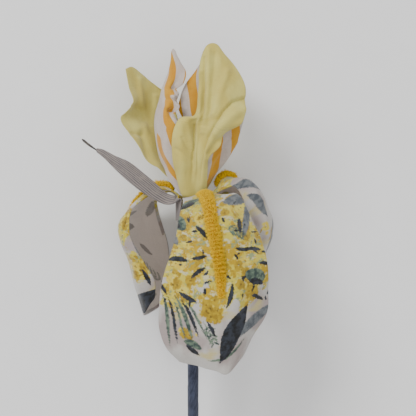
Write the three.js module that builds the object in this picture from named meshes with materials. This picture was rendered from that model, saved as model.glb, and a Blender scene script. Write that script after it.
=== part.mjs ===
// A fabric iris flower: nine cloth petals and a narrow bract bound round the top of a cloth-covered
// wire stem, lying on its back with the front of the bloom up.
//
// Every piece is laid out in the flower frame: X to the flower's right, Y up along the stem, Z out of
// the front of the bloom, with the origin on the stem's axis where the petals leave their binding.
// The group then tips the flower onto the surface it lies on. Millimetres throughout.

import * as THREE from "three";
import { mergeVertices } from "three/addons/utils/BufferGeometryUtils.js";

// ---- How the flower lies -------------------------------------------------------------------------
const LEAN = THREE.MathUtils.degToRad(7); // the stem slopes down to its cut end by this much
const AXIS_HEIGHT = 31.1; // the flower frame's origin above the surface

// ---- Cloth ---------------------------------------------------------------------------------------
const CLOTH = 0.65; // thickness of a stiffened cloth petal
const LINING_GAP = 0.25; // between a fall's printed face and its lining
const CLEAR = 0.3; // between pieces that touch
const FACETING = 0.05; // more of it between rings of cloth whose facets don't line up

// ---- Stem and binding ----------------------------------------------------------------------------
const STEM_SIDES = 16;
const WIRE_RADIUS = 1.2;
const SLEEVE_RADIUS = 2.5;
const SLEEVE_BORE = WIRE_RADIUS + CLEAR;
const CORE_RADIUS = 2.2;
const CORE_TOP = -0.5;
const CORE_DOME = 1.4; // how far the core's rounded top stands above its sides
const FOOT_BOTTOM = -9; // lower end of every petal's foot
const FOOT_TOP = -4; // the feet run straight up the stem as far as this
const COLLAR = 0.5; // and have opened by a little here
const STRIPE_FLARE = 0.2;
const STANDARD_FLARE = 0.4;
const FALL_FLARE = 1.35;
const STRIPE_RING = CORE_RADIUS + CLEAR + CLOTH / 2; // ring that the feet of the striped petals stand on
const STANDARD_RING = STRIPE_RING + CLOTH + CLEAR + FACETING;
const FALL_RING = STANDARD_RING + 1.5 * CLOTH + LINING_GAP / 2 + CLEAR;
const STEM_FLAT = Math.cos(Math.PI / STEM_SIDES); // how far in the flats of a round piece lie
const BINDING_BORE = (FALL_RING + CLOTH + LINING_GAP / 2 + CLEAR) / STEM_FLAT;
const BINDING_RADIUS = BINDING_BORE + CLOTH;
const BINDING_TOP = FOOT_TOP;
const BINDING_TAIL = -15.5; // where the binding has tapered onto the stem
const BRACT_RING = BINDING_RADIUS + CLEAR + CLOTH / 2;
const BRACT_WIRE_RADIUS = 0.45;
const BRACT_WIRE_SIDES = 6;
const BRACT_WIRE_STEPS = 20;
const BRACT_WIRE_SHARES = [0.45, 0.53, 0.62, 0.72, 0.82, 0.9, 0.97]; // of the bract's length

// ---- Beards --------------------------------------------------------------------------------------
const BEARD_WIDTH = 6.6;
const BEARD_HEIGHT = 2.8;
const BEARD_EDGE = 0.8; // least thickness, at the sides and the two ends
const BEARD_ROUNDING = 0.12; // share of its length over which each end is rounded
const BEARD_TIP_SHARE = 0.25; // of its width squared, left at the very end
const BEARD_TAPER = 0.3; // share of its width lost by its lower end

// ---- How finely the cloth is faceted -------------------------------------------------------------
const PETAL_STEPS = [2, 2]; // along and across, to each span of a net
const BRACT_STEPS = [2, 1];
const BEARD_STEPS = [16, 4]; // in all

// ---- Petal nets ----------------------------------------------------------------------------------
// Each net is the rows of points that a petal's cloth passes through, from its foot to its tip, with
// five points across each row. The rows of the foot itself come from footRows.

const FALL_FRONT = [
  [[-4.2, -1.3, 9], [-0.5, 0.3, 10.5], [5, 2.6, 11.5], [9.5, 2.6, 12], [14, 1.3, 10.5]],
  [[-5.3, -6.5, 14], [0.5, -3.5, 18], [7, -1.8, 20], [13.5, -0.5, 19], [20.5, 2, 14]],
  [[-7, -16, 19], [1, -14, 25], [8.8, -12, 28], [18, -10, 27], [27, -10.5, 20]],
  [[-9.5, -24, 22], [2, -23, 29], [10.8, -22, 32], [21, -20.5, 31], [30.5, -18.5, 22.5]],
  [[-13, -35, 24], [1, -34, 31], [12.5, -34, 34], [23, -31, 33], [33, -29, 28]],
  [[-14.5, -46, 24], [0, -46, 32], [12.6, -46, 36], [24, -44, 34], [33.5, -40, 25]],
  [[-15, -57, 24], [-1, -58, 31], [12, -58, 35], [23, -55, 33], [33, -50, 27]],
  [[-11.5, -66.5, 24], [0, -68, 30], [12, -69, 33], [21, -65.5, 31], [27, -60, 26]],
  [[-6, -72, 24], [2, -74, 28], [10, -76, 31], [15.5, -77.4, 31], [22, -70, 27]],
];

const FALL_LEFT = [
  [[-5.5, 0.5, -9.5], [-7, 2.4, -7.5], [-8, 3, -4], [-7.8, 3, -2.2], [-7, 2.6, -1]],
  [[-11, 4, -16], [-12, 5.5, -12.5], [-13.5, 6, -5], [-13.6, 5.8, -2], [-12.8, 5, -0.5]],
  [[-16.5, 0.5, -22], [-19, 3, -17.5], [-20, 3.8, -7], [-20.5, 3.6, -1], [-20, 2.2, 2.5]],
  [[-16, -5.5, -26], [-22, -3, -22.5], [-26.5, -3.5, -9], [-28.5, -3.8, 4], [-27.3, -4, 8]],
  [[-14, -12.5, -28.6], [-23.5, -9.5, -26], [-31.3, -10, -10], [-33, -11, 4], [-29, -11, 8.5]],
  [[-12, -20, -29.4], [-22.5, -18, -26.6], [-31, -19, -9.5], [-31.5, -20, 5], [-28, -18, 8.5]],
  [[-11, -30, -28.2], [-20, -28.5, -24.5], [-28, -28.5, -8], [-27.5, -28.5, 5], [-22.5, -28, 8.5]],
  [[-11.5, -39, -24], [-19, -40, -18], [-25.3, -40, -6], [-24.5, -39, 4], [-17.5, -36.5, 7]],
  [[-12.6, -46, -19], [-18, -50, -14], [-22.3, -52, -6], [-21, -49, 1], [-17.5, -44, 4]],
];

const FALL_RIGHT = [
  [[8.8, 2.2, 2.5], [9.8, 4.2, 0.5], [10.8, 4.8, -3], [10.3, 3, -7], [9.5, 0.5, -9.8]],
  [[13.5, 5, 4.5], [14, 8.2, 2], [14.2, 10.2, -4], [14, 8, -12], [14, 3, -17]],
  [[19, 6.5, 7], [21, 9.8, 4], [20, 8.8, -5], [19.5, 6.5, -16], [19, 1.5, -22]],
  [[23, 0.5, 8.5], [28, 5.8, 6], [27.6, 5, -5], [27, 2, -19], [24, -4.5, -26]],
  [[25, -8, 9], [31.5, -3.5, 7], [33.5, -3.5, -5], [31, -6, -24], [25.5, -12, -28.6]],
  [[27, -17, 9], [34, -13, 7], [36, -12, -5], [33, -15, -25], [26, -20.5, -29.4]],
  [[26.5, -27, 8.5], [31.5, -24, 7], [33, -23, -5], [31, -26, -24], [25.5, -30.5, -28.2]],
  [[24, -37, 7.5], [28, -35, 5], [29.5, -35, -5], [28, -36, -17], [23.5, -40, -23]],
  [[21, -44, 5], [24, -46, 1], [26, -47.5, -5], [25, -47, -12], [21.5, -45, -17]],
];

const STANDARD_RIGHT = [
  [[-5.4, 3.2, 4.2], [-2.8, 3.6, 5.2], [1, 3.8, 5], [3.8, 3.8, 5.3], [5.9, 3.8, 3.5]],
  [[-8.2, 14, 7], [-4.5, 14, 9.5], [1, 14, 7.8], [4, 14, 9], [6.4, 14, 7.5]],
  [[-9.5, 23, 9], [-5.5, 23, 12], [1.2, 22.6, 9], [4.8, 20.6, 12], [7, 18.8, 10.5]],
  [[-9.2, 28.5, 10], [-5.3, 29, 12.8], [1.3, 28.8, 9.4], [7, 26.4, 13], [12, 24.2, 11.5]],
  [[-8, 33.4, 10.7], [-4.6, 34, 13], [1.4, 34, 10], [8.6, 31.6, 14], [14, 29.4, 13]],
  [[-5.3, 37, 11.5], [-2.3, 36.4, 12.6], [1.9, 35.6, 10.6], [11, 34.6, 15.2], [20.6, 33.4, 14.5]],
  [[0.6, 37.9, 11.2], [3.1, 39.3, 11.7], [5.9, 40.1, 13.1], [13.8, 39.6, 15.5], [22.8, 36.8, 13]],
  [[2.4, 45, 11.3], [4.2, 49, 12.8], [7.3, 51, 14], [15, 48.8, 15], [23.2, 43.2, 11.5]],
  [[3, 54, 12], [5, 57.5, 13.5], [9, 58.6, 14.5], [15.3, 56.8, 15], [23.4, 51, 12.5]],
  [[3.3, 61.8, 13], [5.4, 65, 14], [9.2, 66, 14.5], [13.5, 63.6, 14.2], [19.4, 59.2, 12.8]],
  [[4.6, 66.6, 13.5], [6.4, 69.4, 13.8], [8.8, 70.4, 14], [11.2, 69.5, 13.8], [13.5, 66.3, 13.5]],
];

const STANDARD_LEFT = [
  [[-5.6, 4.5, -0.4], [-5.3, 4.8, -2], [-4.6, 5, -3.4], [-3.4, 4.8, -4.6], [-1.8, 4.5, -5.4]],
  [[-12, 11, -2], [-10.5, 12, -6], [-8.5, 13, -9], [-6, 12, -11], [-3.5, 11, -11]],
  [[-19.5, 18.5, -3], [-16, 20, -9], [-12, 22, -13], [-8, 21, -15], [-4.5, 20, -14]],
  [[-28.3, 29.5, -4], [-22, 30, -10], [-15.5, 31, -15.5], [-10, 31, -17], [-5.5, 30, -15]],
  [[-32.8, 37.5, -5], [-26.5, 38, -12], [-19, 39, -17], [-12.5, 40, -18], [-7.5, 38, -15]],
  [[-27.3, 43.5, -7], [-24.5, 45, -12.5], [-19.5, 46.5, -17.5], [-14, 46, -18.5], [-9, 43, -16]],
  [[-28.8, 51, -9], [-25, 52, -13.5], [-20, 51.8, -17], [-15, 50, -18.5], [-10.5, 46.5, -17]],
  [[-30.5, 59.5, -10], [-27.5, 60.3, -12.5], [-23, 57, -16], [-18, 52.8, -18], [-12.6, 49, -17.5]],
];

const STANDARD_BACK = [
  [[-0.5, 5, -6.5], [1.5, 5, -6.5], [3.3, 5, -6], [5, 5, -5], [6.2, 5, -3.5]],
  [[-1.5, 15, -10], [2, 15, -12], [6, 15, -12], [9.5, 15, -10.5], [12, 15, -7.5]],
  [[-2, 27, -12], [3, 28, -16], [8.5, 28, -17], [14, 27, -15], [18, 26, -10]],
  [[0, 40, -13], [4, 41, -18], [9.5, 42, -20], [15, 41, -18], [20, 40, -12]],
  [[3, 51, -15], [6, 52, -19.5], [10.5, 53, -21], [15, 52, -19], [18.5, 50, -15]],
  [[7, 58, -18], [9, 60, -20], [11.5, 61, -20.5], [14, 60, -19.5], [15.5, 58, -18]],
];

const STRIPE_LEFT = [
  [[-6.6, 4, 2.4], [-5, 4, 2.9], [-3.2, 4, 3.2], [-1.7, 4, 3.3], [-0.2, 4, 3]],
  [[-12.2, 11.6, 0.8], [-10, 12, 3.2], [-7, 12, 4.5], [-4, 12, 5], [-1.5, 12, 4.5]],
  [[-16.6, 22.4, -2.4], [-14.5, 22.5, 2.4], [-10.4, 23, 6], [-6.4, 23, 6.7], [-3, 23, 5.5]],
  [[-18, 33, -3.6], [-16, 33, 1.8], [-12, 33.5, 5.8], [-8.4, 33, 7], [-5.5, 33, 5.5]],
  [[-17.3, 38, -3], [-15.2, 39, 2.2], [-12.2, 39.4, 5.2], [-10.2, 39.3, 3.4], [-8.8, 38.8, 6.4]],
  [[-16.4, 41.6, -2.4], [-14.2, 42.4, 2.2], [-11.2, 42.8, 5.4], [-8.4, 42.3, 3.6], [-6.3, 41.6, 6.8]],
  [[-15.4, 45, -1.8], [-13.4, 46, 2.2], [-10.8, 46.6, 4.4], [-8.6, 46.2, 6], [-7, 45.2, 3.2]],
  [[-14.4, 48.6, -1], [-12.6, 49.4, 2.2], [-10.4, 49.8, 4], [-8.4, 49.2, 3.2], [-6.7, 48.2, 5.8]],
  [[-13.5, 51.4, -0.4], [-11.8, 52, 2.4], [-10.2, 52.2, 3.4], [-9, 51.4, 2.2], [-8, 50.6, 4.4]],
  [[-12.4, 54.8, 0.4], [-10.8, 55.4, 2.6], [-8.6, 55.6, 3.6], [-6.4, 54.6, 3.4], [-4.2, 53.2, 5]],
  [[-11, 58.8, 1.2], [-9.6, 59.4, 2.5], [-7.8, 59.8, 3.3], [-5.6, 59.3, 3.6], [-3.4, 57.8, 4]],
  [[-10, 63.4, 2], [-9.2, 64, 2.6], [-8.2, 64.4, 3], [-7, 63.8, 3], [-5.7, 62.4, 3]],
  [[-9.6, 67, 2.5], [-9.3, 67.7, 2.6], [-8.9, 68.2, 2.7], [-8.4, 67.5, 2.8], [-7.9, 66.3, 2.8]],
];

const STRIPE_RIGHT = [
  [[1.2, 4, 3], [2.6, 4, 2.6], [3.8, 4, 1.6], [4.8, 4.2, 0.2], [5.4, 4.5, -1.4]],
  [[1, 13, 4.6], [4, 13, 4.8], [7, 13, 4], [9, 12.5, 2], [10.4, 12.5, -0.5]],
  [[-1, 24, 4], [4, 24, 6], [9, 24, 5.5], [14, 24, 3], [18.5, 24, 0]],
  [[-3, 34, 1.5], [3, 34, 5], [9, 34, 5.5], [15.5, 33, 3], [21.2, 31, 0.5]],
  [[-6.3, 41, -0.5], [0, 42, 4], [8, 43, 5.5], [16, 42, 4], [23.3, 40, 2]],
  [[-5.5, 47, 0.5], [0, 48.5, 4], [7.5, 50, 5], [15, 49, 4], [22, 47.5, 2]],
  [[-3, 52.5, 2], [1.5, 54, 4.5], [7, 56, 4.5], [13, 55, 3.5], [18.5, 53, 2]],
  [[1.3, 58.5, 4], [4, 60, 5], [7.5, 61, 4.5], [11, 60.5, 3.5], [14.5, 58.5, 2.5]],
  [[4, 62.5, 4.5], [5.5, 63.5, 4.5], [7.5, 64.2, 4.2], [9.3, 63.6, 3.8], [11, 62, 3.5]],
];

const STRIPE_BACK = [
  [[-2.4, 4.5, -3], [-1.2, 4.5, -3.6], [0, 4.5, -3.9], [1.3, 4.5, -3.6], [2.5, 4.5, -3]],
  [[-4, 15, -4], [-2, 15, -6], [0.5, 15, -7], [3, 15, -6.5], [5, 15, -5]],
  [[-6, 28, -4.5], [-2.5, 28, -7], [1.5, 28, -8], [5, 28, -7.5], [8, 27, -5.5]],
  [[-4.5, 39, -5], [-1, 40, -7.5], [2.5, 40, -8.5], [6, 40, -8], [9, 38, -6]],
  [[-1.5, 46, -7], [0.5, 47.5, -8], [3, 48.5, -8.5], [5.5, 47.5, -8.3], [7.5, 46, -7.5]],
];

const BRACT = [
  [[-8, 1.6, 3.2], [-8.5, 0.7, 4.2], [-8.8, -0.1, 5.1], [-9, -0.9, 5.9], [-9.1, -1.7, 6.6]],
  [[-12.5, 3.4, 4], [-12.8, 2.2, 5], [-13, 1, 5.7], [-13.4, -0.3, 6.2], [-13.7, -1.5, 6.5]],
  [[-19.4, 9.5, 6.5], [-20, 7.7, 7.8], [-20.5, 6, 8.5], [-21, 4.4, 8.9], [-21.5, 2.7, 9]],
  [[-28.4, 16.7, 8.5], [-28.6, 14.5, 9.8], [-28.7, 12.3, 10.5], [-28.7, 10.2, 10.7], [-28.7, 8.2, 10.5]],
  [[-35, 19.8, 9.5], [-35, 18.4, 10.3], [-35, 17, 10.8], [-34.9, 15.4, 10.9], [-34.8, 13.8, 10.8]],
  [[-40.2, 22.4, 10], [-40.2, 21.5, 10.5], [-40.1, 20.7, 10.8], [-40, 19.8, 10.8], [-40, 19, 10.8]],
  [[-43.2, 23.2, 10.4], [-43.3, 22.9, 10.6], [-43.3, 22.5, 10.8], [-43.3, 22.1, 10.8], [-43.3, 21.7, 10.8]],
];
const BRACT_WIRE_TIP = [[-46.8, 24.8, 9.8], [-50, 27.4, 9.4]]; // the bare end past the cloth

// ---- Surfaces ------------------------------------------------------------------------------------
const UP = new THREE.Vector3(0, Math.sin(LEAN), Math.cos(LEAN)); // away from the surface it lies on

// Three rows round a ring about the stem, from one azimuth to the other. Azimuth 0 is the front of
// the bloom and 90 its left side.
function footRows(ring, flare, from, to) {
  return [[FOOT_BOTTOM, ring], [FOOT_TOP, ring], [COLLAR, ring + flare]].map(([y, radius]) =>
    [0, 0.25, 0.5, 0.75, 1].map((share) => {
      const azimuth = THREE.MathUtils.degToRad(THREE.MathUtils.lerp(from, to, share));
      return [-radius * Math.sin(azimuth), y, radius * Math.cos(azimuth)];
    }),
  );
}

// The smooth surface through a net: frameAt(s, t) is its point a share s of the way from foot to tip
// and a share t across, its normal there and the length of cloth across it.
function surfaceThrough(net, perSpan = PETAL_STEPS) {
  const columns = net[0].map((_, column) => {
    const points = net.map((row) => new THREE.Vector3(...row[column]));
    return new THREE.CatmullRomCurve3(points, false, "catmullrom", 0.5);
  });
  const at = (s, t) => {
    const across = columns.map((curve) => curve.getPoint(s));
    return new THREE.CatmullRomCurve3(across, false, "catmullrom", 0.5).getPoint(t);
  };
  const frameAt = (s, t) => {
    const step = 0.004; // short enough to follow the cloth's waves
    const along = at(Math.min(s + step, 1), t).sub(at(Math.max(s - step, 0), t));
    const across = at(s, Math.min(t + step, 1)).sub(at(s, Math.max(t - step, 0)));
    const span = across.length() / (Math.min(t + step, 1) - Math.max(t - step, 0));
    return { point: at(s, t), normal: along.cross(across).normalize(), span };
  };
  const steps = [perSpan[0] * (net.length - 1), perSpan[1] * (net[0].length - 1)];
  return { frameAt, steps };
}

// Keeps a point at least this far above the surface that the flower lies on.
function pressedUp(point, least) {
  const short = least - AXIS_HEIGHT - point.dot(UP);
  return short > 0 ? point.addScaledVector(UP, short) : point;
}

// ---- Solids --------------------------------------------------------------------------------------
// One closed body from any geometry: shared vertices merged and its faces turned outwards.
function closed(geometry) {
  geometry.deleteAttribute("normal");
  geometry.deleteAttribute("uv");
  const merged = mergeVertices(geometry, 1e-4);
  const index = merged.index.array;
  const [a, b, c] = [new THREE.Vector3(), new THREE.Vector3(), new THREE.Vector3()];
  let volume = 0;
  for (let i = 0; i < index.length; i += 3) {
    a.fromBufferAttribute(merged.attributes.position, index[i]);
    b.fromBufferAttribute(merged.attributes.position, index[i + 1]);
    c.fromBufferAttribute(merged.attributes.position, index[i + 2]);
    volume += a.dot(b.cross(c));
  }
  if (volume < 0) {
    for (let i = 0; i < index.length; i += 3) {
      [index[i + 1], index[i + 2]] = [index[i + 2], index[i + 1]];
    }
  }
  merged.computeVertexNormals();
  return merged;
}

// A closed sheet on a grid of steps: skins(s, t) gives its lower and its upper point. Both faces are
// split into triangles alike, so that they never cross.
function sheetSolid([rows, columns], skins) {
  const positions = [];
  for (let i = 0; i <= rows; i += 1) {
    for (let j = 0; j <= columns; j += 1) {
      const [lower, upper] = skins(i / rows, j / columns);
      positions.push(...lower.toArray(), ...upper.toArray());
    }
  }
  const lowerAt = (i, j) => 2 * (i * (columns + 1) + j);
  const upperAt = (i, j) => lowerAt(i, j) + 1;
  const faces = [];
  for (let i = 0; i < rows; i += 1) {
    for (let j = 0; j < columns; j += 1) {
      for (const [at, flip] of [[upperAt, false], [lowerAt, true]]) {
        const quad = [at(i, j), at(i + 1, j), at(i + 1, j + 1), at(i, j + 1)];
        const [p, q, r, s] = flip ? quad.reverse() : quad;
        faces.push(...(flip ? [p, q, s, q, r, s] : [p, q, r, p, r, s]));
      }
    }
  }
  const rim = [];
  for (let i = 0; i < rows; i += 1) rim.push([i, 0]);
  for (let j = 0; j < columns; j += 1) rim.push([rows, j]);
  for (let i = rows; i > 0; i -= 1) rim.push([i, columns]);
  for (let j = columns; j > 0; j -= 1) rim.push([0, j]);
  rim.forEach((here, k) => {
    const next = rim[(k + 1) % rim.length];
    faces.push(lowerAt(...here), lowerAt(...next), upperAt(...next));
    faces.push(lowerAt(...here), upperAt(...next), upperAt(...here));
  });
  const geometry = new THREE.BufferGeometry();
  geometry.setAttribute("position", new THREE.Float32BufferAttribute(positions, 3));
  geometry.setIndex(faces);
  return closed(geometry);
}

// Cloth that fills the space between two offsets from a surface, pressed flat where it lies.
function clothSolid(surface, from, to, lowest = 0) {
  return sheetSolid(surface.steps, (s, t) => {
    const { point, normal } = surface.frameAt(s, t);
    const lower = point.clone().addScaledVector(normal, from);
    const upper = point.clone().addScaledVector(normal, to);
    const lowerIsDown = lower.dot(UP) < upper.dot(UP);
    pressedUp(lower, lowerIsDown ? lowest : lowest + CLOTH);
    pressedUp(upper, lowerIsDown ? lowest + CLOTH : lowest);
    return [lower, upper];
  });
}

// A tufted strip down the middle of a fall, between two shares of its length: flat below, where it
// lies on the cloth, and rounded above.
function beardSolid(surface, start, end) {
  const base = LINING_GAP / 2 + CLOTH + CLEAR;
  return sheetSolid(BEARD_STEPS, (s, t) => {
    const along = THREE.MathUtils.lerp(start, end, s);
    const { span } = surface.frameAt(along, 0.5);
    const rounding = Math.min(1, s / BEARD_ROUNDING, (1 - s) / BEARD_ROUNDING);
    const blunted = Math.sqrt(1 - (1 - BEARD_TIP_SHARE) * (1 - rounding) ** 2);
    const width = BEARD_WIDTH * (1 - BEARD_TAPER * s) * blunted;
    const { point, normal } = surface.frameAt(along, 0.5 + ((t - 0.5) * width) / span);
    const crown = Math.sqrt(1 - (2 * t - 1) ** 2) * Math.sqrt(rounding);
    const height = BEARD_EDGE + (BEARD_HEIGHT - BEARD_EDGE) * (crown || 0);
    const lower = point.clone().addScaledVector(normal, base);
    return [lower, point.clone().addScaledVector(normal, base + height)];
  });
}

function turned(profile) {
  const points = profile.map(([radius, y]) => new THREE.Vector2(radius, y));
  return closed(new THREE.LatheGeometry(points, STEM_SIDES));
}

function roundTube(points, radius, sides, steps) {
  const section = new THREE.Shape(
    Array.from({ length: sides }, (_, k) => {
      const turn = (2 * Math.PI * k) / sides;
      return new THREE.Vector2(radius * Math.cos(turn), radius * Math.sin(turn));
    }),
  );
  const extrudePath = new THREE.CatmullRomCurve3(points, false, "catmullrom", 0.5);
  return closed(new THREE.ExtrudeGeometry(section, { extrudePath, steps, bevelEnabled: false }));
}

// ---- Finishes ------------------------------------------------------------------------------------
const COLOURS = {
  steel: 0x8c8c90,
  navyCloth: 0x3f4558,
  whiteThread: 0xd8d4cc,
  greyTape: 0x77747a,
  stripedCloth: 0xd9cfc6,
  yellowCloth: 0xd8c878,
  printedCloth: 0xcfc3a8,
  liningCloth: 0x9a8f86,
  yellowPile: 0xdda52a,
  greyCloth: 0x8a827f,
};

const flower = new THREE.Group();

function add(name, geometry, colour) {
  const metal = colour === "steel";
  const material = new THREE.MeshStandardMaterial({
    color: COLOURS[colour],
    roughness: metal ? 0.4 : 0.9,
    metalness: metal ? 1 : 0,
  });
  const mesh = new THREE.Mesh(geometry, material);
  mesh.name = name;
  flower.add(mesh);
}

// ---- Stem: a wire in a cloth sleeve, cut where it meets the surface ------------------------------
const STEM_END = -(AXIS_HEIGHT - SLEEVE_RADIUS * Math.cos(LEAN)) / Math.sin(LEAN);

add("stem_wire", turned([[0, STEM_END], [WIRE_RADIUS, STEM_END], [WIRE_RADIUS, CORE_TOP - CLEAR],
  [0, CORE_TOP - CLEAR]]), "steel");
add("stem_sleeve", turned([[SLEEVE_BORE, STEM_END], [SLEEVE_RADIUS, STEM_END],
  [SLEEVE_RADIUS, FOOT_BOTTOM - 2 * CLEAR], [SLEEVE_BORE, FOOT_BOTTOM - 2 * CLEAR],
  [SLEEVE_BORE, STEM_END]]), "navyCloth");

// ---- The thread-wound core inside the feet and the tape binding outside them ----------------------
add("petal_core", turned([[0, CORE_TOP], [SLEEVE_BORE, CORE_TOP], [SLEEVE_BORE, FOOT_BOTTOM - CLEAR],
  [CORE_RADIUS, FOOT_BOTTOM - CLEAR], [CORE_RADIUS, CORE_TOP], [CORE_RADIUS / 2, CORE_TOP + 0.8 * CORE_DOME],
  [0, CORE_TOP + CORE_DOME]]), "whiteThread");

const BINDING_FLOOR = FOOT_BOTTOM - CLEAR;
const BINDING_NECK = SLEEVE_RADIUS + CLEAR;
add("neck_binding", turned([[BINDING_BORE, BINDING_TOP], [BINDING_BORE, BINDING_FLOOR],
  [BINDING_NECK, BINDING_FLOOR], [BINDING_NECK, BINDING_TAIL],
  [BINDING_NECK + CLOTH, BINDING_TAIL], [BINDING_RADIUS, BINDING_FLOOR - CLOTH],
  [BINDING_RADIUS, BINDING_TOP], [BINDING_BORE, BINDING_TOP]]), "greyTape");

// ---- Petals, from the inside out -----------------------------------------------------------------
function addPetal(name, [ring, flare, from, to], net, colour, perSpan) {
  const surface = surfaceThrough([...footRows(ring, flare, from, to), ...net], perSpan);
  add(name, clothSolid(surface, -CLOTH / 2, CLOTH / 2), colour);
  return surface;
}

function addStriped(name, [from, to], net) {
  addPetal(name, [STRIPE_RING, STRIPE_FLARE, from, to], net, "stripedCloth");
}

function addStandard(name, [from, to], net) {
  addPetal(name, [STANDARD_RING, STANDARD_FLARE, from, to], net, "yellowCloth");
}

addStriped("stripe_petal_left", [80, 8], STRIPE_LEFT);
addStriped("stripe_petal_right", [-12, -108], STRIPE_RIGHT);
addStriped("stripe_petal_back", [128, 232], STRIPE_BACK);

addStandard("standard_right", [44, -66], STANDARD_RIGHT);
addStandard("standard_left", [88, 164], STANDARD_LEFT);
addStandard("standard_back", [182, 272], STANDARD_BACK);

// A fall is a printed face and a plain lining, stitched together round the edge, with a beard that
// runs from its foot along the middle of the face.
function addFall(side, [from, to], net, [beardStart, beardEnd]) {
  const surface = surfaceThrough([...footRows(FALL_RING, FALL_FLARE, from, to), ...net]);
  const inner = LINING_GAP / 2;
  const outer = inner + CLOTH;
  add(`fall_${side}_face`, clothSolid(surface, inner, outer), "printedCloth");
  const overFace = CLOTH + LINING_GAP;
  add(`fall_${side}_lining`, clothSolid(surface, -outer, -inner, overFace), "liningCloth");
  add(`beard_${side}`, beardSolid(surface, beardStart, beardEnd), "yellowPile");
}

addFall("front", [42, -42], FALL_FRONT, [0.245, 0.71]);
addFall("left", [158, 92], FALL_LEFT, [0.3, 0.59]);
addFall("right", [-72, -146], FALL_RIGHT, [0.29, 0.46]);

// ---- Bract and the fine wire that stiffens it ----------------------------------------------------
const bract = addPetal("bract", [BRACT_RING, 0, 88, 46], BRACT, "greyCloth", BRACT_STEPS);

const wireBehind = -(CLOTH / 2 + CLEAR + BRACT_WIRE_RADIUS);
const wirePoints = BRACT_WIRE_SHARES.map((s) => {
  const { point, normal } = bract.frameAt(s, 0.5);
  return point.addScaledVector(normal, wireBehind);
});
wirePoints.push(...BRACT_WIRE_TIP.map((tip) => new THREE.Vector3(...tip)));
add("bract_wire", roundTube(wirePoints, BRACT_WIRE_RADIUS, BRACT_WIRE_SIDES, BRACT_WIRE_STEPS), "steel");

// ---- Laid down, with the origin under the middle of its box --------------------------------------
flower.rotation.x = LEAN;
flower.position.z = AXIS_HEIGHT;
const middle = new THREE.Box3().setFromObject(flower, true).getCenter(new THREE.Vector3());
flower.position.x = -middle.x;
flower.position.y = -middle.y;

export default flower;
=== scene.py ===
"""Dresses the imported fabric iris.

The petals' nets and the rule that spans them are the ones in the part's source, so each cloth piece
keeps the form of the solid it replaces. Here they are finer and thinner, creased, printed, striped
and woven, and the beards grow tufts. Lengths are in millimetres until a piece is placed.
"""

import math

import bpy
import numpy as np
from mathutils import Matrix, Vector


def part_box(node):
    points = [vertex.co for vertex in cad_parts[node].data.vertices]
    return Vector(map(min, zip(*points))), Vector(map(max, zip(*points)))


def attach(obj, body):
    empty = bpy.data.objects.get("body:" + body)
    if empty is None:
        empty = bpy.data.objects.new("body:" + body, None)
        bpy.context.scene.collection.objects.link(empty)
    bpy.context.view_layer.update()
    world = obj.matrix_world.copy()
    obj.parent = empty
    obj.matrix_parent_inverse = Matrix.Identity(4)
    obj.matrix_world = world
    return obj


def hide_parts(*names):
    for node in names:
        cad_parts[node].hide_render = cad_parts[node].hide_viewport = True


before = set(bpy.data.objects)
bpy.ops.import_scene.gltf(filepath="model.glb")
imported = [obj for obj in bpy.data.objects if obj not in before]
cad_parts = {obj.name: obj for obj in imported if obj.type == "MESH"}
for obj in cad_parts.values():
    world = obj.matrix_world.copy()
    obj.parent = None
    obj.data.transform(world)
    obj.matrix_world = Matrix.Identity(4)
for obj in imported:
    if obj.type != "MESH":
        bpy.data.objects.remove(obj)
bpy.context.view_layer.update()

# ---- The flower frame: X to the flower's right, Y up the stem, Z out of the front of the bloom ----
MM = 0.001
LEAN = math.radians(7)
AXIS_HEIGHT = 31.1
WIRE_RADIUS = 1.2
SLEEVE_RADIUS = 2.5
CLEAR = 0.3
SOLID_CLOTH = 0.65
FACETING = 0.05  # extra room between rings of flat facets
STEM_SIDES = 16
CORE_RADIUS = 2.2
FOOT_BOTTOM = -9
FOOT_TOP = -4
COLLAR = 0.5
LINING_GAP = 0.25
STRIPE_FLARE = 0.2
STANDARD_FLARE = 0.4
FALL_FLARE = 1.35
STRIPE_RING = CORE_RADIUS + CLEAR + SOLID_CLOTH / 2
STANDARD_RING = STRIPE_RING + SOLID_CLOTH + CLEAR + FACETING
FALL_RING = STANDARD_RING + 1.5 * SOLID_CLOTH + LINING_GAP / 2 + CLEAR
BINDING_BORE = (FALL_RING + SOLID_CLOTH + LINING_GAP / 2 + CLEAR) / math.cos(math.pi / STEM_SIDES)
BINDING_RADIUS = BINDING_BORE + SOLID_CLOTH
BINDING_TAIL = -15.5
BRACT_RING = BINDING_RADIUS + CLEAR + SOLID_CLOTH / 2
STEM_END = -(AXIS_HEIGHT - SLEEVE_RADIUS * math.cos(LEAN)) / math.sin(LEAN)
FLOOR_GAP = 0.05  # nothing lies lower than this

sleeve_low, sleeve_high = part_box("stem_sleeve")
SHIFT_X = (sleeve_low.x + sleeve_high.x) / 2 / MM
SHIFT_Y = sleeve_low.y / MM - (STEM_END * math.cos(LEAN) - SLEEVE_RADIUS * math.sin(LEAN))


def placed(points, least=FLOOR_GAP):
    """Points of the flower frame in the part's frame in metres, none lower than least."""
    x, y, z = np.moveaxis(np.asarray(points, float), -1, 0)
    height = y * math.sin(LEAN) + z * math.cos(LEAN) + AXIS_HEIGHT
    ahead = y * math.cos(LEAN) - z * math.sin(LEAN) + SHIFT_Y
    return np.stack([x + SHIFT_X, ahead, np.maximum(height, least)], -1) * MM


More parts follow.
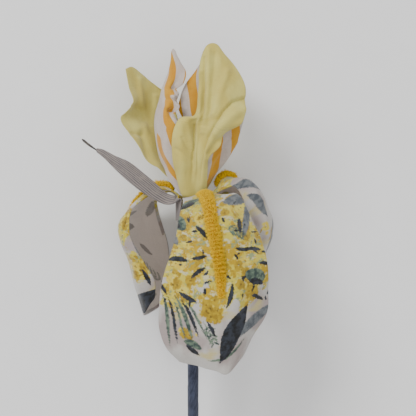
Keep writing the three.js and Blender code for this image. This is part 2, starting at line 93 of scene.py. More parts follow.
# ---- Petal nets, foot to tip, as in the part's source ----
# Only STANDARD_RIGHT's seventh row is up to 0.6 off the source's: the pleat there is tighter in thin cloth.
FALL_FRONT = [
    [[-4.2, -1.3, 9], [-0.5, 0.3, 10.5], [5, 2.6, 11.5], [9.5, 2.6, 12], [14, 1.3, 10.5]],
    [[-5.3, -6.5, 14], [0.5, -3.5, 18], [7, -1.8, 20], [13.5, -0.5, 19], [20.5, 2, 14]],
    [[-7, -16, 19], [1, -14, 25], [8.8, -12, 28], [18, -10, 27], [27, -10.5, 20]],
    [[-9.5, -24, 22], [2, -23, 29], [10.8, -22, 32], [21, -20.5, 31], [30.5, -18.5, 22.5]],
    [[-13, -35, 24], [1, -34, 31], [12.5, -34, 34], [23, -31, 33], [33, -29, 28]],
    [[-14.5, -46, 24], [0, -46, 32], [12.6, -46, 36], [24, -44, 34], [33.5, -40, 25]],
    [[-15, -57, 24], [-1, -58, 31], [12, -58, 35], [23, -55, 33], [33, -50, 27]],
    [[-11.5, -66.5, 24], [0, -68, 30], [12, -69, 33], [21, -65.5, 31], [27, -60, 26]],
    [[-6, -72, 24], [2, -74, 28], [10, -76, 31], [15.5, -77.4, 31], [22, -70, 27]],
]

FALL_LEFT = [
    [[-5.5, 0.5, -9.5], [-7, 2.4, -7.5], [-8, 3, -4], [-7.8, 3, -2.2], [-7, 2.6, -1]],
    [[-11, 4, -16], [-12, 5.5, -12.5], [-13.5, 6, -5], [-13.6, 5.8, -2], [-12.8, 5, -0.5]],
    [[-16.5, 0.5, -22], [-19, 3, -17.5], [-20, 3.8, -7], [-20.5, 3.6, -1], [-20, 2.2, 2.5]],
    [[-16, -5.5, -26], [-22, -3, -22.5], [-26.5, -3.5, -9], [-28.5, -3.8, 4], [-27.3, -4, 8]],
    [[-14, -12.5, -28.6], [-23.5, -9.5, -26], [-31.3, -10, -10], [-33, -11, 4], [-29, -11, 8.5]],
    [[-12, -20, -29.4], [-22.5, -18, -26.6], [-31, -19, -9.5], [-31.5, -20, 5], [-28, -18, 8.5]],
    [[-11, -30, -28.2], [-20, -28.5, -24.5], [-28, -28.5, -8], [-27.5, -28.5, 5], [-22.5, -28, 8.5]],
    [[-11.5, -39, -24], [-19, -40, -18], [-25.3, -40, -6], [-24.5, -39, 4], [-17.5, -36.5, 7]],
    [[-12.6, -46, -19], [-18, -50, -14], [-22.3, -52, -6], [-21, -49, 1], [-17.5, -44, 4]],
]

FALL_RIGHT = [
    [[8.8, 2.2, 2.5], [9.8, 4.2, 0.5], [10.8, 4.8, -3], [10.3, 3, -7], [9.5, 0.5, -9.8]],
    [[13.5, 5, 4.5], [14, 8.2, 2], [14.2, 10.2, -4], [14, 8, -12], [14, 3, -17]],
    [[19, 6.5, 7], [21, 9.8, 4], [20, 8.8, -5], [19.5, 6.5, -16], [19, 1.5, -22]],
    [[23, 0.5, 8.5], [28, 5.8, 6], [27.6, 5, -5], [27, 2, -19], [24, -4.5, -26]],
    [[25, -8, 9], [31.5, -3.5, 7], [33.5, -3.5, -5], [31, -6, -24], [25.5, -12, -28.6]],
    [[27, -17, 9], [34, -13, 7], [36, -12, -5], [33, -15, -25], [26, -20.5, -29.4]],
    [[26.5, -27, 8.5], [31.5, -24, 7], [33, -23, -5], [31, -26, -24], [25.5, -30.5, -28.2]],
    [[24, -37, 7.5], [28, -35, 5], [29.5, -35, -5], [28, -36, -17], [23.5, -40, -23]],
    [[21, -44, 5], [24, -46, 1], [26, -47.5, -5], [25, -47, -12], [21.5, -45, -17]],
]

STANDARD_RIGHT = [
    [[-5.4, 3.2, 4.2], [-2.8, 3.6, 5.2], [1, 3.8, 5], [3.8, 3.8, 5.3], [5.9, 3.8, 3.5]],
    [[-8.2, 14, 7], [-4.5, 14, 9.5], [1, 14, 7.8], [4, 14, 9], [6.4, 14, 7.5]],
    [[-9.5, 23, 9], [-5.5, 23, 12], [1.2, 22.6, 9], [4.8, 20.6, 12], [7, 18.8, 10.5]],
    [[-9.2, 28.5, 10], [-5.3, 29, 12.8], [1.3, 28.8, 9.4], [7, 26.4, 13], [12, 24.2, 11.5]],
    [[-8, 33.4, 10.7], [-4.6, 34, 13], [1.4, 34, 10], [8.6, 31.6, 14], [14, 29.4, 13]],
    [[-5.3, 37, 11.5], [-2.3, 36.4, 12.6], [1.9, 35.6, 10.6], [11, 34.6, 15.2], [20.6, 33.4, 14.5]],
    [[0.6, 37.9, 11.2], [3.2, 38.9, 11.4], [6, 39.6, 12.8], [13.8, 39.6, 15.5], [22.8, 36.8, 13]],
    [[2.4, 45, 11.3], [4.2, 49, 12.8], [7.3, 51, 14], [15, 48.8, 15], [23.2, 43.2, 11.5]],
    [[3, 54, 12], [5, 57.5, 13.5], [9, 58.6, 14.5], [15.3, 56.8, 15], [23.4, 51, 12.5]],
    [[3.3, 61.8, 13], [5.4, 65, 14], [9.2, 66, 14.5], [13.5, 63.6, 14.2], [19.4, 59.2, 12.8]],
    [[4.6, 66.6, 13.5], [6.4, 69.4, 13.8], [8.8, 70.4, 14], [11.2, 69.5, 13.8], [13.5, 66.3, 13.5]],
]

STANDARD_LEFT = [
    [[-5.6, 4.5, -0.4], [-5.3, 4.8, -2], [-4.6, 5, -3.4], [-3.4, 4.8, -4.6], [-1.8, 4.5, -5.4]],
    [[-12, 11, -2], [-10.5, 12, -6], [-8.5, 13, -9], [-6, 12, -11], [-3.5, 11, -11]],
    [[-19.5, 18.5, -3], [-16, 20, -9], [-12, 22, -13], [-8, 21, -15], [-4.5, 20, -14]],
    [[-28.3, 29.5, -4], [-22, 30, -10], [-15.5, 31, -15.5], [-10, 31, -17], [-5.5, 30, -15]],
    [[-32.8, 37.5, -5], [-26.5, 38, -12], [-19, 39, -17], [-12.5, 40, -18], [-7.5, 38, -15]],
    [[-27.3, 43.5, -7], [-24.5, 45, -12.5], [-19.5, 46.5, -17.5], [-14, 46, -18.5], [-9, 43, -16]],
    [[-28.8, 51, -9], [-25, 52, -13.5], [-20, 51.8, -17], [-15, 50, -18.5], [-10.5, 46.5, -17]],
    [[-30.5, 59.5, -10], [-27.5, 60.3, -12.5], [-23, 57, -16], [-18, 52.8, -18], [-12.6, 49, -17.5]],
]

STANDARD_BACK = [
    [[-0.5, 5, -6.5], [1.5, 5, -6.5], [3.3, 5, -6], [5, 5, -5], [6.2, 5, -3.5]],
    [[-1.5, 15, -10], [2, 15, -12], [6, 15, -12], [9.5, 15, -10.5], [12, 15, -7.5]],
    [[-2, 27, -12], [3, 28, -16], [8.5, 28, -17], [14, 27, -15], [18, 26, -10]],
    [[0, 40, -13], [4, 41, -18], [9.5, 42, -20], [15, 41, -18], [20, 40, -12]],
    [[3, 51, -15], [6, 52, -19.5], [10.5, 53, -21], [15, 52, -19], [18.5, 50, -15]],
    [[7, 58, -18], [9, 60, -20], [11.5, 61, -20.5], [14, 60, -19.5], [15.5, 58, -18]],
]

STRIPE_LEFT = [
    [[-6.6, 4, 2.4], [-5, 4, 2.9], [-3.2, 4, 3.2], [-1.7, 4, 3.3], [-0.2, 4, 3]],
    [[-12.2, 11.6, 0.8], [-10, 12, 3.2], [-7, 12, 4.5], [-4, 12, 5], [-1.5, 12, 4.5]],
    [[-16.6, 22.4, -2.4], [-14.5, 22.5, 2.4], [-10.4, 23, 6], [-6.4, 23, 6.7], [-3, 23, 5.5]],
    [[-18, 33, -3.6], [-16, 33, 1.8], [-12, 33.5, 5.8], [-8.4, 33, 7], [-5.5, 33, 5.5]],
    [[-17.3, 38, -3], [-15.2, 39, 2.2], [-12.2, 39.4, 5.2], [-10.2, 39.3, 3.4], [-8.8, 38.8, 6.4]],
    [[-16.4, 41.6, -2.4], [-14.2, 42.4, 2.2], [-11.2, 42.8, 5.4], [-8.4, 42.3, 3.6], [-6.3, 41.6, 6.8]],
    [[-15.4, 45, -1.8], [-13.4, 46, 2.2], [-10.8, 46.6, 4.4], [-8.6, 46.2, 6], [-7, 45.2, 3.2]],
    [[-14.4, 48.6, -1], [-12.6, 49.4, 2.2], [-10.4, 49.8, 4], [-8.4, 49.2, 3.2], [-6.7, 48.2, 5.8]],
    [[-13.5, 51.4, -0.4], [-11.8, 52, 2.4], [-10.2, 52.2, 3.4], [-9, 51.4, 2.2], [-8, 50.6, 4.4]],
    [[-12.4, 54.8, 0.4], [-10.8, 55.4, 2.6], [-8.6, 55.6, 3.6], [-6.4, 54.6, 3.4], [-4.2, 53.2, 5]],
    [[-11, 58.8, 1.2], [-9.6, 59.4, 2.5], [-7.8, 59.8, 3.3], [-5.6, 59.3, 3.6], [-3.4, 57.8, 4]],
    [[-10, 63.4, 2], [-9.2, 64, 2.6], [-8.2, 64.4, 3], [-7, 63.8, 3], [-5.7, 62.4, 3]],
    [[-9.6, 67, 2.5], [-9.3, 67.7, 2.6], [-8.9, 68.2, 2.7], [-8.4, 67.5, 2.8], [-7.9, 66.3, 2.8]],
]

STRIPE_RIGHT = [
    [[1.2, 4, 3], [2.6, 4, 2.6], [3.8, 4, 1.6], [4.8, 4.2, 0.2], [5.4, 4.5, -1.4]],
    [[1, 13, 4.6], [4, 13, 4.8], [7, 13, 4], [9, 12.5, 2], [10.4, 12.5, -0.5]],
    [[-1, 24, 4], [4, 24, 6], [9, 24, 5.5], [14, 24, 3], [18.5, 24, 0]],
    [[-3, 34, 1.5], [3, 34, 5], [9, 34, 5.5], [15.5, 33, 3], [21.2, 31, 0.5]],
    [[-6.3, 41, -0.5], [0, 42, 4], [8, 43, 5.5], [16, 42, 4], [23.3, 40, 2]],
    [[-5.5, 47, 0.5], [0, 48.5, 4], [7.5, 50, 5], [15, 49, 4], [22, 47.5, 2]],
    [[-3, 52.5, 2], [1.5, 54, 4.5], [7, 56, 4.5], [13, 55, 3.5], [18.5, 53, 2]],
    [[1.3, 58.5, 4], [4, 60, 5], [7.5, 61, 4.5], [11, 60.5, 3.5], [14.5, 58.5, 2.5]],
    [[4, 62.5, 4.5], [5.5, 63.5, 4.5], [7.5, 64.2, 4.2], [9.3, 63.6, 3.8], [11, 62, 3.5]],
]

STRIPE_BACK = [
    [[-2.4, 4.5, -3], [-1.2, 4.5, -3.6], [0, 4.5, -3.9], [1.3, 4.5, -3.6], [2.5, 4.5, -3]],
    [[-4, 15, -4], [-2, 15, -6], [0.5, 15, -7], [3, 15, -6.5], [5, 15, -5]],
    [[-6, 28, -4.5], [-2.5, 28, -7], [1.5, 28, -8], [5, 28, -7.5], [8, 27, -5.5]],
    [[-4.5, 39, -5], [-1, 40, -7.5], [2.5, 40, -8.5], [6, 40, -8], [9, 38, -6]],
    [[-1.5, 46, -7], [0.5, 47.5, -8], [3, 48.5, -8.5], [5.5, 47.5, -8.3], [7.5, 46, -7.5]],
]

BRACT = [
    [[-8, 1.6, 3.2], [-8.5, 0.7, 4.2], [-8.8, -0.1, 5.1], [-9, -0.9, 5.9], [-9.1, -1.7, 6.6]],
    [[-12.5, 3.4, 4], [-12.8, 2.2, 5], [-13, 1, 5.7], [-13.4, -0.3, 6.2], [-13.7, -1.5, 6.5]],
    [[-19.4, 9.5, 6.5], [-20, 7.7, 7.8], [-20.5, 6, 8.5], [-21, 4.4, 8.9], [-21.5, 2.7, 9]],
    [[-28.4, 16.7, 8.5], [-28.6, 14.5, 9.8], [-28.7, 12.3, 10.5], [-28.7, 10.2, 10.7], [-28.7, 8.2, 10.5]],
    [[-35, 19.8, 9.5], [-35, 18.4, 10.3], [-35, 17, 10.8], [-34.9, 15.4, 10.9], [-34.8, 13.8, 10.8]],
    [[-40.2, 22.4, 10], [-40.2, 21.5, 10.5], [-40.1, 20.7, 10.8], [-40, 19.8, 10.8], [-40, 19, 10.8]],
    [[-43.2, 23.2, 10.4], [-43.3, 22.9, 10.6], [-43.3, 22.5, 10.8], [-43.3, 22.1, 10.8], [-43.3, 21.7, 10.8]],
]


def foot_rows(ring, flare, start, end):
    """Three rows round the stem between two azimuths: 0 is the front of the bloom, 90 its left."""
    azimuth = np.radians(np.linspace(start, end, 5))
    rows = []
    for y, radius in ((FOOT_BOTTOM, ring), (FOOT_TOP, ring), (COLLAR, ring + flare)):
        rows.append(np.stack([-radius * np.sin(azimuth), np.full(5, y), radius * np.cos(azimuth)], -1))
    return rows


# ---- Smooth surfaces ----
def curve_weights(count, shares):
    """Which four points, padded by one at each end, a uniform Catmull-Rom curve mixes at each share."""
    place = np.clip(shares, 0, 1) * (count - 1)
    first = np.minimum(place.astype(int), count - 2)
    f = place - first
    weights = np.stack([
        -0.5 * f + f**2 - 0.5 * f**3,
        1 - 2.5 * f**2 + 1.5 * f**3,
        0.5 * f + 2 * f**2 - 1.5 * f**3,
        -0.5 * f**2 + 0.5 * f**3,
    ], -1)
    return first, weights


def padded_ends(points):
    return np.concatenate([2 * points[:1] - points[1:2], points, 2 * points[-1:] - points[-2:-1]])


def along(net, shares):
    """Rows [S, 5, 3] of the net's cross curves at these shares of its length."""
    padded = padded_ends(net)
    first, weights = curve_weights(len(net), shares)
    return sum(weights[:, k, None, None] * padded[first + k] for k in range(4))


def surface(net, s, t):
    """Points [S, T, 3] at shares s [S] of the length and t [S, T] of the width."""
    rows = along(net, s)
    padded = np.moveaxis(padded_ends(np.moveaxis(rows, 1, 0)), 0, 1)
    first, weights = curve_weights(rows.shape[1], t)
    index = np.arange(len(s))[:, None]
    return sum(weights[..., k, None] * padded[index, first + k] for k in range(4))


def normals(net, s, t):
    step = 0.004
    lengthwise = surface(net, np.minimum(s + step, 1), t) - surface(net, np.maximum(s - step, 0), t)
    crosswise = surface(net, s, np.minimum(t + step, 1)) - surface(net, s, np.maximum(t - step, 0))
    return unit(np.cross(lengthwise, crosswise))


def unit(vectors):
    return vectors / np.maximum(np.linalg.norm(vectors, axis=-1, keepdims=True), 1e-9)


WAVES = 7


def smooth_noise(x, y, seed, scale):
    """A gentle seeded wave field in about -1..1, with features of about this size."""
    draw = np.random.default_rng(seed)
    total = np.zeros(np.broadcast(x, y).shape)
    for _ in range(WAVES):
        turn, phase = draw.uniform(0, 2 * np.pi, 2)
        pitch = scale * draw.uniform(0.7, 1.6)
        total = total + np.sin(2 * np.pi * (x * np.cos(turn) + y * np.sin(turn)) / pitch + phase)
    return total / (WAVES / 2)


PX = 0.45  # millimetres to a pixel of the photo, which is 416 pixels wide
PHOTO_WIDTH = 416
ORIGIN_PX = (193, 200)  # where the flower frame's origin shows in it
ALWAYS_HELD, FREE_SPAN = 0.3, 300  # how soon beyond the neck the cloth is free to crease
UNEVEN = 14  # size of the cloth's soft waves


def seen_at(px, py):
    """X and Y of the flower frame at a place in the photo."""
    return (px - ORIGIN_PX[0]) * PX, (ORIGIN_PX[1] - py) * PX


def crease_relief(points, creases):
    """Height of the folds at each point. A crease is (places, height, half width)."""
    x, y = points[..., 0], points[..., 1]
    relief = np.zeros(x.shape)
    for places, height, half_width in creases:
        line = np.array([seen_at(*place) for place in places])
        nearest = np.full(x.shape, 1e9)
        for (ax, ay), (bx, by) in zip(line[:-1], line[1:]):
            run = (bx - ax) ** 2 + (by - ay) ** 2
            share = np.clip(((x - ax) * (bx - ax) + (y - ay) * (by - ay)) / run, 0, 1)
            gap = np.hypot(x - ax - share * (bx - ax), y - ay - share * (by - ay))
            nearest = np.minimum(nearest, gap)
        relief += height * np.exp(-((nearest / half_width) ** 2))
    return relief


class Petal:
    """A net's surface, creased, with the cloth's own coordinates in millimetres.

    A crease of positive height stands towards the camera: side is -1 for a petal that points up,
    whose normals face away from it.
    """

    def __init__(self, foot, net, creases, seed, wave=0.25, side=1):
        self.net = np.array(list(foot_rows(*foot)) + [np.array(row, float) for row in net])
        self.creases = creases
        self.wave = wave
        self.seed = seed
        self.side = side

    def sheet(self, s, t):
        """Points and normals [S, T, 3] of the creased cloth."""
        t = np.broadcast_to(t, (len(s), np.shape(t)[-1]))
        base = surface(self.net, s, t)
        out = normals(self.net, s, t)
        from_neck = base[..., 1:2] ** 2 + base[..., 0:1] ** 2 + base[..., 2:] ** 2
        free = np.clip(from_neck / FREE_SPAN - ALWAYS_HELD, 0, 1)
        relief = crease_relief(base, self.creases) * self.side
        waves = smooth_noise(base[..., 0] + base[..., 2], base[..., 1], self.seed, UNEVEN)
        return base + out * (relief + self.wave * waves)[..., None] * free, out

    def grid(self, pitch):
        """Points, normals and cloth coordinates on a grid of about this pitch."""
        rough, _ = self.sheet(np.linspace(0, 1, 60), np.linspace(0, 1, 40))
        length = np.linalg.norm(np.diff(rough, axis=0), axis=-1).sum(0).max()
        width = np.linalg.norm(np.diff(rough, axis=1), axis=-1).sum(1).max()
        s = np.linspace(0, 1, int(length / pitch) + 2)
        points, _ = self.sheet(s, np.linspace(0, 1, int(width / pitch) + 2))
        out = unit(np.cross(np.gradient(points, axis=0), np.gradient(points, axis=1)))
        middle = points.shape[1] // 2
        steps = np.linalg.norm(np.diff(points[:, middle], axis=0), axis=-1)
        down = np.concatenate([[0], np.cumsum(steps)])
        across = np.linalg.norm(np.diff(points, axis=1), axis=-1)
        across = np.concatenate([np.zeros((len(s), 1)), np.cumsum(across, axis=1)], axis=1)
        across -= across[:, middle:middle + 1]
        cloth = np.stack([across, np.broadcast_to(down[:, None], across.shape)], -1)
        self.flat_width = float(across[:, -1].max() - across[:, 0].min())
        self.flat_length = float(down[-1])
        spans = across[:, -1] - across[:, 0]
        self.flat_area = float(((spans[1:] + spans[:-1]) / 2 * np.diff(down)).sum())
        return points, out, cloth


# ---- Meshes ----
def linked(name, data):
    made = bpy.data.objects.new(name, data)
    bpy.context.scene.collection.objects.link(made)
    return made


def new_object(name, points, faces, material, fields):
    """A smooth mesh object at the origin. fields are named numbers or vectors for each point."""
    mesh = bpy.data.meshes.new(name)
    mesh.from_pydata(points.tolist(), [], faces)
    for key, values in fields.items():
        kind, slot = ("FLOAT", "value") if values.ndim == 1 else ("FLOAT_VECTOR", "vector")
        mesh.attributes.new(key, kind, "POINT").data.foreach_set(slot, values.astype(np.float32).ravel())
    mesh.materials.append(material)
    mesh.polygons.foreach_set("use_smooth", np.ones(len(mesh.polygons), bool))
    mesh.update()
    return linked(name, mesh)


def grid_faces(rows, columns, start=0, flip=False):
    i, j = np.meshgrid(np.arange(rows - 1), np.arange(columns - 1), indexing="ij")
    a = (start + i * columns + j).ravel()
    quad = [a, a + columns, a + columns + 1, a + 1]
    return np.stack(quad[::-1] if flip else quad, -1)


def rim_order(rows, columns):
    """Grid places round the edge: down the first column, along the last row and back round."""
    places = [(i, 0) for i in range(rows - 1)]
    places += [(rows - 1, j) for j in range(columns - 1)]
    places += [(i, columns - 1) for i in range(rows - 1, 0, -1)]
    places += [(0, j) for j in range(columns - 1, 0, -1)]
    return np.array(places)


def rim_of(points, out):
    """At each place round the edge: its vertex number, point, normal and way out of the cloth."""
    rows, columns = points.shape[:2]
    rim = rim_order(rows, columns)
    edge = points[rim[:, 0], rim[:, 1]]
    normal = out[rim[:, 0], rim[:, 1]]
    run = unit(np.roll(edge, -1, axis=0) - np.roll(edge, 1, axis=0))
    return rim[:, 0] * columns + rim[:, 1], edge, normal, unit(np.cross(run, normal))


def ring_faces(first, second):
    """Quads between two closed rings of vertex numbers."""
    return np.stack([first, np.roll(first, -1), np.roll(second, -1), second], -1)


def chained_faces(start, number, count, *end):
    """Quads from the ring start through this many more rings, numbered on from number, to the end."""
    chain = [start] + [number + k * len(start) + np.arange(len(start)) for k in range(count)] + list(end)
    return [ring_faces(b, a) for a, b in zip(chain[:-1], chain[1:])]


SHEET_PITCH, SHEET_HALF = 0.5, 0.2  # mesh size and half thickness of a single cloth
FALL_PITCH, FALL_HALF = 0.6, 0.42  # the same of a fall's two cloths together
HEM_WIDTHS = (0.15, 0.35, 0.6, 0.85, 1.1, 1.6, 2.4)  # cloth past the edge at each turn of the hem


def closed_sheet(name, petal, material):
    """Cloth with two faces and a rounded edge."""
    points, out, cloth = petal.grid(SHEET_PITCH)
    rows, columns = points.shape[:2]
    number = rows * columns
    flat, edge, normal, away = rim_of(points, out)
    turns = np.radians([45, 0, -45])
    rings = [edge + normal * (SHEET_HALF * np.sin(a)) + away * SHEET_HALF * np.cos(a) for a in turns]
    faces = [grid_faces(rows, columns), grid_faces(rows, columns, number, flip=True)]
    faces += chained_faces(flat, 2 * number, len(rings), flat + number)
    upper, lower = points + out * SHEET_HALF, points - out * SHEET_HALF
    every = np.concatenate([upper.reshape(-1, 3), lower.reshape(-1, 3), *rings])
    cloth = cloth.reshape(-1, 2)
    coordinates = np.concatenate([cloth, cloth] + [cloth[flat]] * 3)
    side = np.concatenate([np.ones(number), np.zeros(number), np.full(3 * len(flat), 0.5)])
    fields = {"cloth": np.concatenate([coordinates, side[:, None]], axis=1)}
    return new_object(name, placed(every), np.concatenate(faces).tolist(), material, fields)


def fall_skins(side, petal, face_material, lining_material, design):
    """A printed face whose edge is turned round the lining's, and the lining."""
    points, out, cloth = petal.grid(FALL_PITCH)
    rows, columns = points.shape[:2]
    number = rows * columns
    flat, edge, normal, away = rim_of(points, out)
    turns = np.radians([50, 15, -20, -55, -90])
    rings = [edge + normal * FALL_HALF * np.sin(a) + away * FALL_HALF * 0.8 * np.cos(a) for a in turns]
    rings.append(edge - normal * (FALL_HALF + 0.1) - away * 0.5)
    rings.append(edge - normal * (FALL_HALF + 0.02) - away * 1.3)
    every = np.concatenate([(points + out * FALL_HALF).reshape(-1, 3), *rings])
    faces = [grid_faces(rows, columns)] + chained_faces(flat, number, len(rings))
    cloth = cloth.reshape(-1, 2)
    hem = cloth[flat]
    run = unit(np.roll(hem, -1, axis=0) - np.roll(hem, 1, axis=0))
    beyond = np.stack([-run[:, 1], run[:, 0]], -1)
    coordinates = np.concatenate([cloth] + [hem + beyond * width for width in HEM_WIDTHS])
    face = new_object(f"{side}_fall_print", placed(every), np.concatenate(faces).tolist(), face_material,
                      printed_fields(coordinates, 1, design))
    under = placed(points - out * FALL_HALF, 2 * FALL_HALF).reshape(-1, 3)
    lining = new_object(f"{side}_fall_lining_cloth", under, grid_faces(rows, columns, flip=True).tolist(),
                        lining_material, printed_fields(cloth, 0, design))
    finish_cloth(face, f"fall_{side}_face")
    finish_cloth(lining, f"fall_{side}_lining")


def stand_in(piece, node):
    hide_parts(node)
    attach(piece, "root")


def finish_cloth(piece, node):
    stand_in(piece, node)


# ---- The print: a generic design of blossom sprays, brushed leaves and sprigs, in cloth millimetres ----
FAR = 6.0
INKS = ("bloom", "slate", "lemon", "mustard", "green", "dark", "eye")
BRUSH_STEPS = 22
LEAFLET_SPLAY = 42


def stroke_distance(p, start, turn, length, width, bend, blunt=0.6):
    """Distance from points [N, 2] to a brush stroke: it starts somewhere, runs off at a turn in
    degrees, curves by its bend and swells in the middle."""
    share = np.linspace(0, 1, BRUSH_STEPS)
    heading = np.radians(turn + bend * (share - 0.5))
    step = length / (BRUSH_STEPS - 1)
    x = start[0] + np.concatenate([[0], np.cumsum(np.cos(heading[:-1]) * step)])
    y = start[1] + np.concatenate([[0], np.cumsum(np.sin(heading[:-1]) * step)])
    half = width / 2 * np.sin(np.pi * np.clip(share, 0.02, 0.98)) ** blunt
    nearest = np.full(len(p), FAR)
    middle = BRUSH_STEPS // 2
    close = np.hypot(p[:, 0] - x[middle], p[:, 1] - y[middle]) < length / 2 + width + 3
    q = p[close]
    for cx, cy, radius in zip(x, y, half):
        nearest[close] = np.minimum(nearest[close], np.hypot(q[:, 0] - cx, q[:, 1] - cy) - radius)
    return nearest


class Print:
    """Distances to the nearest motif of each ink, grown motif by motif."""

    def __init__(self, p):
        self.p = p
        self.ink = {ink: np.full(len(p), FAR) for ink in INKS}

    def add(self, ink, distance):
        self.ink[ink] = np.minimum(self.ink[ink], distance)

    def dot(self, ink, centre, radius):
        self.add(ink, np.hypot(self.p[:, 0] - centre[0], self.p[:, 1] - centre[1]) - radius)

    def stroke(self, ink, *shape):
        self.add(ink, stroke_distance(self.p, *shape))

    def strokes(self, ink, *shapes):
        for shape in shapes:
            self.stroke(ink, *shape)

    def bloom(self, *mounds):
        """A mass of painted bloom over round mounds (x, y, radius)."""
        for x, y, radius in mounds:
            self.dot("bloom", (x, y), radius)

    def blossom(self, draw, ink, centre, radius):
        """Round petals of uneven size about an eye."""
        turn = draw.uniform(0, 6)
        for k in range(5):
            angle = turn + 2 * math.pi * k / 5 + draw.normal(0, 0.2)
            away = radius * draw.uniform(0.75, 1.1)
            at = (centre[0] + away * math.cos(angle), centre[1] + away * math.sin(angle))
            self.dot(ink, at, draw.uniform(0.5, 0.85) * radius)
        self.dot("eye", centre, 0.3 * radius)

    def sprays(self, draw, *clusters):
        """Loose clusters (centre, reach, count) of blossoms and buds, thinning outwards."""
        for centre, reach, count in clusters:
            for _ in range(count):
                away = reach * draw.random() ** 0.6
                angle = draw.uniform(0, 2 * math.pi)
                at = (centre[0] + away * math.cos(angle), centre[1] + 0.8 * away * math.sin(angle))
                ink = "lemon" if draw.random() < 0.4 else "mustard"
                if draw.random() < 0.6:
                    self.blossom(draw, ink, at, draw.uniform(1.0, 1.8))
                else:
                    self.dot(ink, at, draw.uniform(0.5, 1.2))

    def ticks(self, draw, count, low, high):
        """Short dark dashes scattered between two corners."""
        for _ in range(count):
            at = (draw.uniform(low[0], high[0]), draw.uniform(low[1], high[1]))
            self.stroke("dark", at, draw.uniform(0, 180), draw.uniform(1.6, 4.2), draw.uniform(0.8, 1.4), 20)

    def grasses(self, start, turn, length, count, spread):
        """Long blades side by side from a tuft, every third one dark and the rest green."""
        for k in range(count):
            ink = "dark" if k % 3 == 1 else "green"
            at = (start[0] + 2.2 * k, start[1] + 0.8 * k)
            turned_by = turn - spread * (k - count / 2)
            self.stroke(ink, at, turned_by, length - 1.6 * k, 2.2 - 0.4 * (k % 3), 22, 0.7)

    def sprig(self, start, turn, length, leaf):
        """A curved green stalk with leaflets in pairs."""
        bend = 25
        self.stroke("green", start, turn, length, 0.7, bend, 0.3)
        for k in range(5):
            share = 0.25 + 0.16 * k
            heading = math.radians(turn + bend * (share / 2 - 0.5))
            away = length * share
            at = (start[0] + away * math.cos(heading), start[1] + away * math.sin(heading))
            for splay in (-LEAFLET_SPLAY, LEAFLET_SPLAY):
                self.stroke("green", at, turn + bend * (share - 0.5) + splay,
                            leaf * (1.15 - 0.5 * share), 0.24 * leaf, 12)


def printed_fields(coordinates, side, design):
    """A piece's cloth coordinates, with its side, and its distance to each ink."""
    made = Print(coordinates)
    design(made)
    place = np.concatenate([coordinates, np.full((len(coordinates), 1), side)], axis=1)
    return {"cloth": place, **made.ink}


# A stroke is (start, turn, length, width, bend, blunt).
def front_print(made):
    draw = np.random.default_rng(11)
    made.bloom((-11, 26, 9), (0, 22, 8), (-11, 33, 9), (12, 34, 9), (-17, 46, 11), (3, 46, 12),
               (16, 52, 12), (-16, 60, 12), (3, 62, 12), (19, 66, 8), (-21, 72, 9), (-3, 75, 8), (12, 74, 6))
    made.sprays(draw, ((-12, 33), 8, 12), ((13, 33), 8, 14), ((-16, 50), 11, 20), ((3, 60), 9, 16),
                ((20, 47), 9, 14), ((-21, 68), 9, 18), ((16, 70), 8, 16), ((-5, 80), 7, 16),
                ((24, 60), 6, 9), ((-14, 90), 5, 8))
    made.strokes("slate", ((7, 28.5), 4, 14, 6.4, 6), ((20, 30), 112, 19, 3.8, 14),
                 ((-25, 36), 62, 13, 4, 30), ((6, 94), -20, 25, 6.4, 22))
    made.strokes("green", ((-15, 21), 10, 12, 5, 20), ((-21, 27), 58, 13, 7.5, 10, 0.5),
                 ((12, 66), 24, 10, 6, 20, 0.5), ((-17, 94), 20, 9, 4, 20), ((12, 96), 160, 18, 1.6, 40, 0.5))
    made.strokes("dark", ((-14, 23.5), 8, 8, 4.2, 20), ((-19.5, 30), 62, 8, 2.6, -20),
                 ((13, 69), 20, 9, 2.6, 20), ((-8, 38), 58, 11, 2.6, 16), ((-25, 55), 8, 11, 2.8, 30),
                 ((-5, 54), 172, 8, 1.9, 24),
                 ((8, 52), 14, 9, 2.1, -25), ((-14, 65), -34, 9, 2, 20), ((13, 38), 100, 8, 2.4, 20),
                 ((21, 56), 196, 9, 2.1, -20), ((-20, 71), 28, 10, 2.2, -20), ((5, 68), 104, 11, 2.1, 30),
                 ((15, 75), 35, 9, 1.8, 20), ((25, 40), 75, 8, 2.2, -20), ((-30, 66), 60, 7, 1.7, 20),
                 ((18, 62), 20, 8, 1.8, 20), ((-6, 84), 60, 8, 1.6, 20), ((13, 79), 116, 27, 9, -18, 0.85),
                 ((-16, 96), 30, 8, 2.4, -20))
    made.ticks(draw, 40, (-28, 24), (28, 80))
    made.grasses((-29, 70), 66, 29, 6, 5)
    made.ticks(draw, 8, (-20, 18), (86, 99))
    made.sprig((-8, 84), 62, 12, 4.2)
    made.sprig((4, 42), 30, 11, 4)


def left_print(made):
    made.bloom((4, 18, 13), (-12, 16, 12), (-14, 26, 10), (20, 26, 10), (17, 46, 7), (-16, 44, 8),
               (14, 66, 8), (-2, 56, 8))
    made.sprays(np.random.default_rng(23), ((14, 66), 7, 16), ((-10, 40), 9, 18), ((20, 42), 6, 14),
                ((-2, 56), 8, 14), ((-20, 60), 7, 14), ((22, 26), 6, 12), ((8, 24), 6, 12))
    made.strokes("slate", ((4, 45), 80, 12, 4.4, 20), ((-16, 30), 110, 13, 3.8, 20),
                 ((24, 50), 110, 12, 3.6, 20))
    made.strokes("dark", ((-8, 40), 12, 15, 4, 20), ((-12, 48), 8, 14, 3.6, 24), ((0, 82), 16, 26, 12, -20),
                 ((17, 68), 96, 10, 2.2, 20), ((-14, 56), 150, 9, 2.4, 20), ((-12, 72), 40, 14, 6, 20))
    made.strokes("green", ((-14, 80), 18, 18, 7, 20, 0.5))
    made.sprig((-22, 76), -50, 14, 4.5)


